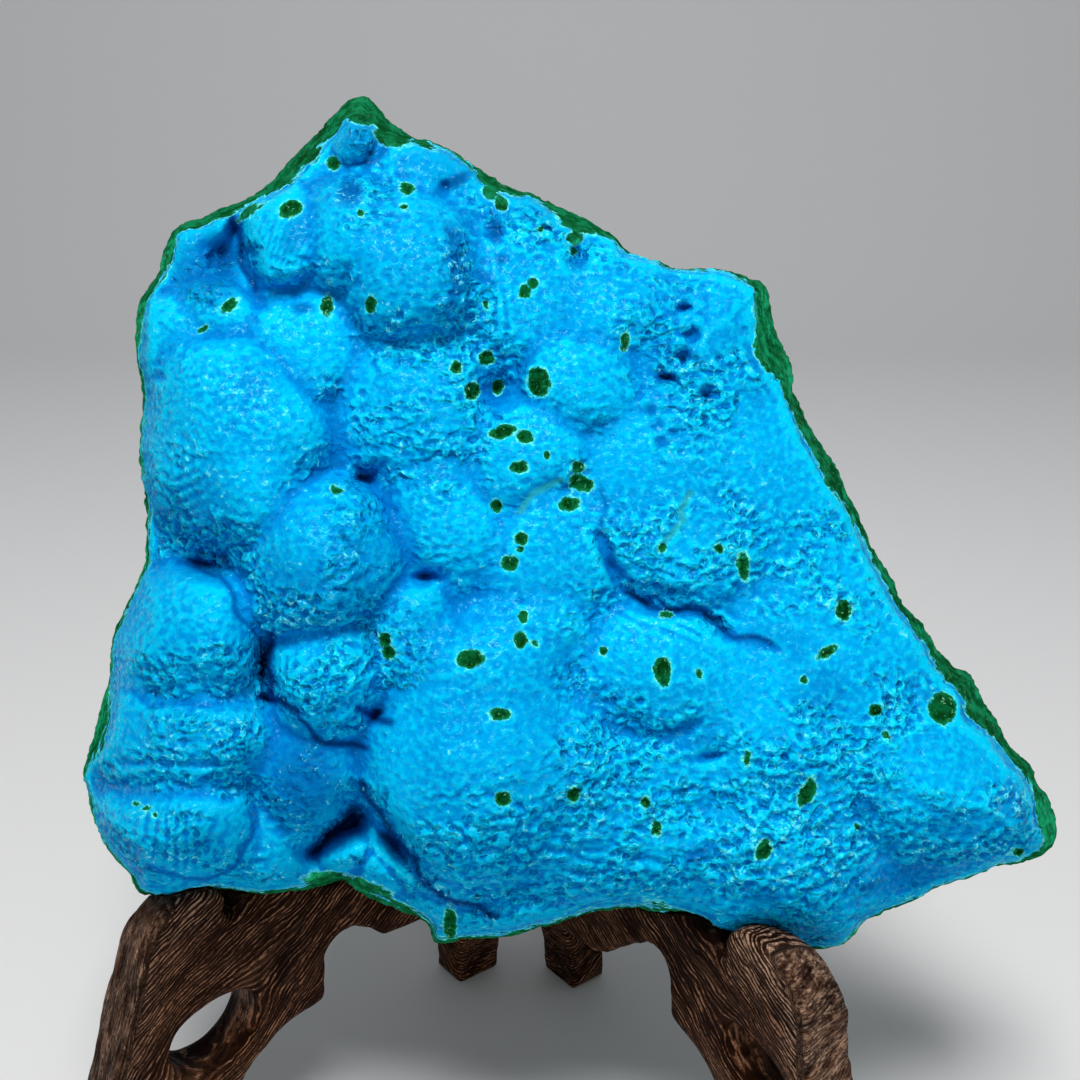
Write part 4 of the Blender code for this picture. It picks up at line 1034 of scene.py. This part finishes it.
def ribbed_tree(surface):
    """Open ribbed grain along the wood and shallow marks of the knife, and flat soles."""
    sizes = {
        "Rib Width": 0.0028, "Rib Length": 0.022, "Rib Depth": 0.00035,
        "Carving Size": 0.009, "Carving Depth": 0.0007, "Sole": 0.0005,
    }
    nodes, given, stored = relief_tree("ribbed grain", sizes)
    along = stored("along_grain", "FLOAT_VECTOR")
    place = nodes.add("GeometryNodeInputPosition")
    sway = nodes.noise(along, 70.0) - 0.5
    grain = nodes.split(along)
    stretched = nodes.add("ShaderNodeCombineXYZ", {
        "X": grain["X"] / given["Rib Length"],
        "Y": (grain["Y"] + sway * 0.006) / given["Rib Width"],
        "Z": grain["Z"] / 0.004,
    })
    ribs = nodes.noise(stretched, 1.0, 2.0, 0.55).between(0.3, 0.7)
    knife = nodes.noise(place, 1.0 / given["Carving Size"], 1.0)
    raised = (ribs - 0.6) * given["Rib Depth"] + (knife - 0.5) * given["Carving Depth"]
    raised = raised * nodes.split(place)["Z"].between(given["Sole"], given["Sole"] * 6.0)
    return finish_tree(nodes, given["Geometry"], raised, {"ribs": ribs}, surface)


def carried_out(rough_object, name, tree):
    """A plain mesh object of what the tree makes of this one, which it takes the place of."""
    modifier = rough_object.modifiers.new("relief", "NODES")
    modifier.node_group = tree
    for socket in tree.interface.items_tree:
        if socket.in_out == "INPUT" and socket.socket_type == "NodeSocketFloat":
            modifier[socket.identifier] = socket.default_value
    graph = bpy.context.evaluated_depsgraph_get()
    evaluated = rough_object.evaluated_get(graph)
    data = bpy.data.meshes.new_from_object(evaluated, preserve_all_data_layers=True, depsgraph=graph)
    bpy.data.objects.remove(rough_object)
    finish = [material for material in data.materials if material][0]
    data.materials.clear()
    data.materials.append(finish)
    data.polygons.foreach_set("material_index", np.zeros(len(data.polygons), np.int32))
    data.name = name
    return linked(name, data)


# ---- Finishes ----
def surface_nodes(name):
    """A new material, its nodes, its shader's inputs, a reader of attributes and object coordinates."""
    made = bpy.data.materials.new(name)
    made.use_nodes = True
    nodes = Nodes(made.node_tree)

    def stored(kind):
        """The number stored under this name."""
        return nodes.add("ShaderNodeAttribute", attribute_name=kind)["Fac"]

    shader = made.node_tree.nodes["Principled BSDF"].inputs
    return made, nodes, shader, stored, nodes.add("ShaderNodeTexCoord")["Object"]


def pitted(nodes, place, scale):
    """Pits in about half the cells of this many to a metre: how deep each point is, and its rim."""
    away = nodes.cells(place, scale)
    deep = nodes.split(away["Color"])["X"].between(0.3, 0.75)
    rim = away.between(0.42, 0.52) * away.between(0.66, 0.56)
    return deep * away.between(0.52, 0.1), rim * deep


def crust_finish():
    """Blue crust, with painted highlights on its crests and painted shade in its hollows, over banded green
    stone.
    """
    made, nodes, shader, stored, place = surface_nodes("blue crust on green stone")
    mixed = nodes.mixed

    # lumps, wrinkles and pits of every size, and what faces which way
    patchy = nodes.noise(place, PATCHES, 3.0, 0.55)
    granular = nodes.noise(place, GRAINS, 3.0, 0.65)
    wavy = nodes.bent(place, MOTTLES, PIT_WANDER)
    fold = nodes.noise(nodes.vector("MULTIPLY", place, (1.0, 1.0, 1.35)), FOLDS, 1.0)
    fold = abs(fold - 0.5).between(0.17, 0.0)
    pit, pit_rim = pitted(nodes, wavy, LARGE_PITS)
    dent, dent_rim = pitted(nodes, wavy, SMALL_PITS)
    rough_here = nodes.smaller(stored("puckered"), 1.0).between(0.1, 0.8, 0.12, 1.0)
    facing = nodes.split(nodes.add("ShaderNodeNewGeometry")["Normal"])
    relief = stored("sunk") * TO_MM
    sunk = relief * facing["Y"].between(-0.1, -0.4, 0.2, 1.0)
    hollow_shade_depth = stored("hollow_shade_depth") * TO_MM

    # the blue crust
    blue = mixed(patchy.between(0.35, 0.65), DEEP_BLUE, CRUST_BLUE)
    # painted highlight: paler blue where the surface stands above its surroundings, with some paler grains
    crest = sunk.between(0.02, -0.09, 0.0, 0.8) + granular.between(0.5, 0.75, 0.0, 0.3)
    blue = mixed(nodes.smaller(crest, 1.0), blue, CREST_HIGHLIGHT_BLUE)
    # painted shade in the hollows of the wrinkles and in the pits
    blue = mixed(sunk.between(0.02, 0.12, 0.0, 0.6), blue, WRINKLE_SHADE_BLUE)
    blue = mixed(nodes.larger(pit * 0.7, dent * 0.5) * rough_here, blue, WRINKLE_SHADE_BLUE)
    # painted highlights on the rims of the pits, and painted glints on the crests
    rims = nodes.larger(pit_rim, dent_rim * 0.6) * rough_here
    blue = mixed(rims * granular.between(0.4, 0.6, 0.1, 0.9), blue, RIM_AND_GLINT_HIGHLIGHT)
    glint = sunk.between(0.0, -0.07) * granular.between(0.5, 0.62)
    blue = mixed(glint * rough_here * 0.55, blue, RIM_AND_GLINT_HIGHLIGHT)
    # painted shade on the undersides of the lobes and in the listed shaded zones, near black where strongest
    shade = nodes.smaller(nodes.larger(stored("under"), stored("painted_shade")), 1.0)
    blue = mixed(shade * 0.85, blue, SHADE_BLUE)
    blue = mixed(stored("painted_shade").between(0.8, 1.7, 0.0, 0.9), blue, HOLLOW_SHADE_BLUE)
    # painted shade in the hollows between the lobes
    blue = mixed(hollow_shade_depth.between(0.7, 4.2, 0.0, 0.94), blue, HOLLOW_SHADE_BLUE)

    # white grains caught in it, painted brightest on the crests as glints, and the teal stain
    many = stored("speckled") * 0.07 + rough_here * 0.05
    grain_glint = (many + nodes.noise(wavy, FLECKS, 3.0, 0.7)).between(0.645, 0.675)
    # painted glints: the flecks show only on the crests
    grain_glint = grain_glint * nodes.noise(place, CLUSTERS).between(0.46, 0.58) * sunk.between(0.01, -0.05)
    blue = mixed(grain_glint * 0.8, blue, PALE_GRAIN_AND_GLINT)
    blue = mixed(stored("stained").between(1.1, 0.1) * 0.75, blue, TEAL)

    # how far each point is inside a worn spot or the bare edge, in millimetres, and their pale borders
    ragged = (nodes.noise(place, RAGS, 3.0, 0.6) - 0.5) * 1.3
    spot = stored("worn") + ragged
    wide = (nodes.noise(place, BAYS, 3.0, 0.6) - 0.5) * 2.6
    edge = stored("bare") + (wide + ragged * 0.5)
    halo = spot.between(-0.4, -0.1) * granular.between(0.4, 0.6, 0.15, 0.9)
    blue = mixed(halo, blue, mixed(granular.between(0.52, 0.6), PALE_HALO, PALE_CRUMB))
    border = edge.between(-0.5, -0.1) * granular.between(0.5, 0.58, 0.25, 0.95)
    blue = mixed(border, blue, PALE_CRUMB)

    # the green stone: bands, mottles, a lighter rim with painted highlights and painted shade, and glowing
    # borders to the spots
    level = stored("level") + (patchy - 0.5) * 9.0
    bands = {"W": level * 0.9, "Scale": 1.0, "Detail": 4.0, "Roughness": 0.65}
    bands = nodes.add("ShaderNodeTexNoise", bands, noise_dimensions="1D")
    mottled = nodes.noise(place, MOTTLES, 4.0, 0.65)
    flecked = nodes.noise(place, CRUMBS, 2.0, 0.6)
    at_rim = (edge - spot).between(-0.4, 0.4)
    green = mixed(mottled.between(0.4, 0.62), DARK_GREEN, MALACHITE)
    rim_green = mixed(mottled.between(0.42, 0.6), EDGE_GREEN, RIM_GREEN)
    green = mixed(at_rim * 0.85, green, rim_green)
    glow = nodes.larger(spot.between(0.55, 0.05), flecked.between(0.56, 0.66))
    green = mixed(glow * (1.0 - at_rim) * 0.7, green, EDGE_GREEN)
    green = mixed(flecked.between(0.62, 0.7) * patchy.between(0.45, 0.6) * 0.7, green, PALE_GREEN)
    green = mixed(bands.between(0.5, 0.68) * (at_rim * 0.4), green, BRIGHT_GREEN)
    shaded = nodes.noise(place, SHADES).between(0.5, 0.62) * at_rim
    green = mixed(shaded * 0.6, green, DARK_GREEN)
    # painted highlight on the rim's raised lumps
    lit = relief.between(-0.02, -0.1) * granular.between(0.46, 0.6, 0.1, 1.0)
    green = mixed(lit * at_rim * 0.75, green, LIT_GREEN)
    # painted shade where the rim faces up or down
    green = mixed(abs(facing["Z"]).between(0.1, 0.7, 0.0, 0.65) * at_rim, green, DARK_GREEN)

    # its streaked sides, and the dark rock in its back
    streak = bands.between(0.6, 0.7) * mottled.between(0.48, 0.6)
    at_side = stored("bare").between(0.3, 2.0) * stored("level").between(-12.0, -10.0, 0.05, 0.8)
    green = mixed(streak * at_side, green, PALE_GREEN)
    rock = mixed(nodes.noise(place, ROCKS, 5.0, 0.6).between(0.42, 0.57), green, DARK_ROCK)
    green = mixed(stored("level").between(-9.0, -12.0), green, rock)

    is_green = nodes.larger(spot, edge).between(-0.08, 0.08)
    nodes.feed(shader["Base Color"], mixed(is_green, blue, green))
    nodes.feed(shader["Roughness"], granular.between(0.5, 0.62, 0.42, 0.2))
    wet = (1.0 - is_green) * granular.between(0.5, 0.62, 0.01, 0.5) * edge.between(-1.2, -0.4, 1.0, 0.0)
    wet = wet * facing["Y"].between(-0.2, -0.6, 0.25, 1.0) * stored("under").between(0.0, 0.3, 1.0, 0.1)
    nodes.feed(shader["Specular IOR Level"], wet)
    nodes.feed(shader["Specular Tint"], (*WET_TINT, 1))
    bumps = fold * 0.6 - (pit * 0.85 + dent * 0.4)
    bumps = granular * 0.3 + bumps * rough_here
    bump = nodes.add("ShaderNodeBump", {"Height": bumps, "Distance": CRUST_BUMP, "Strength": 0.9})
    nodes.feed(shader["Normal"], bump)
    return made


def wood_finish():
    """Dark wood with fine paler ribs and dark pores, worn grey where hands and edges rub, with a painted
    highlight on those edges and the hook tops.
    """
    made, nodes, shader, stored, place = surface_nodes("dark carved wood")
    mixed = nodes.mixed
    along = nodes.add("ShaderNodeAttribute", attribute_name="along_grain")["Vector"]

    def streaky(lumps, roughness):
        """Noise with so many lumps to a metre along the grain, across it and through the board."""
        return nodes.noise(nodes.vector("MULTIPLY", along, lumps), 1.0, 3.0, roughness)

    across = nodes.split(along)["Y"] + (streaky((70.0, 120.0, 90.0), 0.6) - 0.5) * LINE_SWAY
    patchy = streaky((110.0, 380.0, 300.0), 0.65) - 0.5
    fibres = streaky((260.0, 2600.0, 1400.0), 0.65)
    lines = nodes.math("SINE", across * (math.tau / LINE_SPACING))
    lines = lines * stored("on_end").between(0.2, 0.8, 0.44, 0.08) + patchy * 1.8

    wood = mixed(nodes.noise(place, BROAD_SHADES, 3.0, 0.55).between(0.35, 0.65), DARK_WOOD, BROWN_WOOD)
    wood = mixed(stored("ribs").between(0.3, 0.95, 0.0, 0.16), wood, RIB_WOOD)
    ridge = lines.between(0.14, 0.5) * fibres.between(0.44, 0.58, 0.08, 1.0)
    wood = mixed(ridge * 0.95, wood, RIB_WOOD)
    # worn grey, and a painted highlight, on the edges and hook tops
    worn_and_highlit = stored("worn_and_highlit") * fibres.between(0.4, 0.62, 0.1, 1.0) * lines.between(-0.3, 0.4)
    wood = mixed(worn_and_highlit * 0.75, wood, GREY_WEAR_AND_HIGHLIGHT)
    pores = lines.between(-0.12, -0.34) * fibres.between(0.65, 0.4, 0.3, 1.0)
    gritty = nodes.noise(place, GRIT, 3.0, 0.7).between(0.5, 0.62, 0.0, 0.75)
    wood = mixed(nodes.larger(pores * 0.9, gritty), wood, PORE)

    nodes.feed(shader["Base Color"], wood)
    nodes.feed(shader["Roughness"], lines.between(-0.3, 0.3, 0.6, 0.38))
    nodes.feed(shader["Specular IOR Level"], 0.03)
    height = fibres * 0.5 + lines.between(-0.4, 0.25)
    bump = nodes.add("ShaderNodeBump", {"Height": height, "Distance": WOOD_BUMP, "Strength": 0.9})
    nodes.feed(shader["Normal"], bump)
    return made


def plain_finish(name, colour, roughness):
    """A finish of one colour, for the floor."""
    made, nodes, shader, _, _ = surface_nodes(name)
    nodes.feed(shader["Base Color"], (*colour, 1))
    nodes.feed(shader["Roughness"], roughness)
    return made


# ---- The boards ----
def hole_outline(middle_s, middle_z, half_length, half_width):
    """The slanting hole in a board's front leg."""
    t = np.linspace(0, math.tau, HOLE_POINTS, endpoint=False)
    along = half_length * np.cos(t)
    across = half_width * np.sin(t) * (1 - HOLE_TAPER * np.cos(t))
    s = middle_s + along * math.cos(HOLE_TURN) - across * math.sin(HOLE_TURN)
    z = middle_z + along * math.sin(HOLE_TURN) + across * math.cos(HOLE_TURN)
    return np.stack([s, z], axis=1)


def along_grain(s, z, hole):
    """How far each point is along and across the grain, which parts and runs round the hole."""
    middle_s, middle_z, half_length, half_width = hole
    s, z = s - middle_s, z - middle_z
    along = s * math.cos(HOLE_TURN) + z * math.sin(HOLE_TURN)
    across = z * math.cos(HOLE_TURN) - s * math.sin(HOLE_TURN)
    away = np.hypot(along * half_width / half_length, across) / half_width
    return along, across * (1 - 0.85 / np.maximum(away, 1) ** 2)


def board_shell(edge, hole):
    """A board's points, each with its s, its way through the board and its z, and its faces."""
    outlines = [np.column_stack([loop, np.zeros(len(loop))]) for loop in (edge, hole)]
    turns = np.linspace(0, math.pi / 2, ROUNDING_ROWS + 1)[1:]
    rings = [set_in(loop, ROUNDING * (1 - math.cos(turn))) for loop in outlines for turn in turns]
    grid = honeycomb(edge, BOARD_STEP)
    grid = grid[is_inside(grid, edge) & ~is_inside(grid, hole)]
    away = np.minimum(*(from_edge(*grid.T, loop)[0] for loop in outlines))
    grid = grid[away > ROUNDING + BOARD_STEP * 0.5]
    sheet, faces = filled([edge, hole], np.concatenate([*rings, grid]))
    away = np.minimum(*(from_edge(*sheet.T, loop)[0] for loop in outlines))
    away[: len(edge) + len(hole)] = 0
    short = ROUNDING - np.minimum(away, ROUNDING)
    across = THICKNESS / 2 - ROUNDING + np.sqrt(ROUNDING**2 - short**2)

    count = len(sheet)
    points = [np.column_stack([sheet[:, 0], side * across, sheet[:, 1]]) for side in (-1, 1)]
    faces = [tuple(f) for f in faces] + [tuple(count + i for i in reversed(f)) for f in faces]
    rows = round((THICKNESS - 2 * ROUNDING) / BOARD_STEP)
    levels = np.linspace(-1, 1, rows + 1)[1:-1] * (THICKNESS / 2 - ROUNDING)
    start = 2 * count
    for loop, first in ((edge, 0), (hole, len(edge))):
        ring = np.arange(len(loop))
        rings = [first + ring]
        for level in levels:
            points.append(np.column_stack([loop[:, 0], np.full(len(loop), level), loop[:, 1]]))
            rings.append(start + ring)
            start += len(loop)
        rings.append(count + first + ring)
        for near, far in zip(rings, rings[1:]):
            faces += band(near, far)
    return np.concatenate(points), faces


def board_base(name, hook, arch, hole, outer):
    """One board in its own frame, with its edges rounded over. Its outer face is on the side of outer."""
    runs = ((arch[-1], hook[0]), hook + OVER, SOLE_REAR, REAR_ARCH + arch)
    edge = np.concatenate([through(run, BOARD_STEP, closed=False) for run in runs])
    points, faces = board_shell(edge, hole_outline(*hole))
    s, across, z = points.T
    hook_s, hook_z = np.array(hook).T
    front_edge = np.interp(z, hook_z, hook_s)
    on_end = smooth_step(front_edge + END_DEPTH - s, 0, 0.5)
    along = np.column_stack([*along_grain(s, z, hole), across])
    end_grain = np.column_stack((z, across, s) if outer > 0 else (across * 2, z + across * 0.3, s))
    along += (end_grain - along) * on_end[:, None]

    outward = 0.5 + outer * across / THICKNESS
    hooked = (s < HOOK_END) & (z > HOOK_FOOT)
    z = z - hooked * HOOK_FALL * outward**2 * (z - HOOK_FOOT) / (HOOK_TOP - HOOK_FOOT)
    # worn grey where hands rub, and a painted highlight along the front edges and hook tops
    worn_and_highlit = smooth_step(front_edge + 7 - s, 0, 6) * smooth_step(z, 5, 30)
    worn_and_highlit = worn_and_highlit + smooth_step(z, 52, 62) * smooth_step(10 - s, 0, 6)
    worn_and_highlit = np.clip(worn_and_highlit, 0, 1) * (LEFT_RUBBED if outer > 0 else 1)
    values = {"along_grain": along * MM, "worn_and_highlit": worn_and_highlit, "on_end": on_end}
    return mesh_object(name, np.column_stack([s, across, z]), faces, values)


def cutter_object(shell, name):
    """A hidden object of this shell, which cuts others."""
    data = bpy.data.meshes.new(name)
    shell.to_mesh(data)
    shell.free()
    made = linked(name, data)
    made.hide_render = True
    return made


def slot_cutter(cross_at, low, high):
    """The slot where the other board passes, from one height to another."""
    cutter = bmesh.new()
    size = (THICKNESS + 2 * GAP, THICKNESS * 2, high - low)
    bmesh.ops.create_cube(cutter, size=MM)
    bmesh.ops.scale(cutter, verts=cutter.verts, vec=size)
    bmesh.ops.translate(cutter, verts=cutter.verts, vec=Vector((cross_at, 0, (low + high) / 2)) * MM)
    return cutter_object(cutter, "slot")


def seat_cutter():
    """The solid stone grown by the gap, which cuts its seat into the boards."""
    cutter = bmesh.new()
    cutter.from_mesh(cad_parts["specimen"].data)
    bmesh.ops.remove_doubles(cutter, verts=cutter.verts, dist=1e-7)
    bmesh.ops.recalc_face_normals(cutter, faces=cutter.faces)
    moved = [vert.co + vert.normal * GAP * MM for vert in cutter.verts]
    for vert, place in zip(cutter.verts, moved):
        vert.co = place
    return cutter_object(cutter, "seat")


def board(name, angle, cross_at, hook, arch, hole, outer, slot, tree, seat):
    """A finished board, set at this angle round the place where the two cross."""
    rough_board = board_base(f"{name}_base", hook, arch, hole, outer)
    slot_object = slot_cutter(cross_at, *slot)
    place = Matrix.Translation((STAND_CENTRE[0] * MM, STAND_CENTRE[1] * MM, 0))
    place = place @ Matrix.Rotation(math.radians(angle + STAND_TURN), 4, "Z")
    place = place @ Matrix.Translation((-cross_at * MM, 0, 0))
    for moved in (rough_board, slot_object):
        moved.data.transform(place)
    for cutter in (slot_object, seat):
        boolean = rough_board.modifiers.new(cutter.name, "BOOLEAN")
        boolean.operation = "DIFFERENCE"
        boolean.solver = "MANIFOLD"
        boolean.object = cutter
    made = carried_out(rough_board, name, tree)
    bpy.data.objects.remove(slot_object)
    return made


# ---- The studio ----
def floor_and_wall():
    """A pale floor that sweeps up into a wall well behind the object, in metres."""
    turns = np.linspace(0, math.pi / 2, 24)[1:]
    sweep = [(FLOOR_DEPTH + SWEEP * math.sin(t), SWEEP - SWEEP * math.cos(t)) for t in turns]
    profile = [(-4.0, 0), (FLOOR_DEPTH, 0), *sweep, (FLOOR_DEPTH + SWEEP, 4)]
    points = [(x / MM, y / MM, z / MM) for x in (-6, 6) for y, z in profile]
    count = len(profile)
    faces = [(i, i + 1, count + i + 1, count + i) for i in range(count - 1)]
    made = mesh_object("floor", points, faces, {})
    made.data.materials.append(plain_finish("pale floor", FLOOR_COLOUR, 0.7))
    return made


def lamp(name, place, size, power, colour):
    """A rectangular lamp that faces the stone."""
    data = bpy.data.lights.new(name, "AREA")
    data.shape = "RECTANGLE"
    data.size, data.size_y = size
    data.energy = power
    data.color = colour
    made = linked(name, data)
    made.location = place
    aim = Vector(STONE_CENTRE) * MM - Vector(place)
    made.rotation_euler = aim.to_track_quat("-Z", "Y").to_euler()


def studio():
    """The floor, two lamps, a dim even sky, and the camera square to the stone."""
    floor_and_wall()
    lamp("overhead", (-0.04, -0.32, 0.94), (0.4, 0.34), 8.0, (1.0, 0.99, 0.97))
    lamp("front", (0.35, -1.3, 0.3), (0.9, 0.5), 2.4, (0.97, 0.98, 1.0))
    world = bpy.data.worlds.new("studio")
    world.use_nodes = True
    sky = world.node_tree.nodes["Background"]
    sky.inputs["Color"].default_value = (*SKY_COLOUR, 1)
    sky.inputs["Strength"].default_value = SKY_STRENGTH
    bpy.context.scene.world = world
    bpy.context.scene.view_settings.view_transform = "Standard"

    eye = bpy.data.cameras.new("camera")
    eye.sensor_width = 36.0
    eye.lens = VIEW_LENS
    eye.clip_start = 0.01
    camera = linked("camera", eye)
    camera.location = (Vector(STONE_CENTRE) + Vector((0, -math.cos(LEAN), math.sin(LEAN))) * REACH) * MM
    camera.rotation_euler = (math.pi / 2 - LEAN, 0, 0)
    bpy.context.scene.camera = camera


def build():
    """Makes the stone and the boards, and puts each in the place of its solid."""
    crust = crust_finish()
    wood = wood_finish()
    stone = carried_out(stone_base(), "stone", crust_tree(crust))
    ribbed = ribbed_tree(wood)
    seat = seat_cutter()
    left_slot, right_slot = (HALF_LAP, ABOVE_ALL), (BELOW_ALL, HALF_LAP + GAP)
    left = (LEFT_ANGLE, LEFT_CROSS_AT, LEFT_HOOK, LEFT_ARCH, LEFT_HOLE, 1, left_slot)
    right = (RIGHT_ANGLE, RIGHT_CROSS_AT, RIGHT_HOOK, RIGHT_ARCH, RIGHT_HOLE, -1, right_slot)
    left = board("left_board", *left, ribbed, seat)
    right = board("right_board", *right, ribbed, seat)
    bpy.data.objects.remove(seat)
    for piece, node, slot in (
        (stone, "specimen", "stone"),
        (left, "stand_left_board", "wood"),
        (right, "stand_right_board", "wood"),
    ):
        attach(piece, "root")
        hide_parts(node)
    studio()


build()
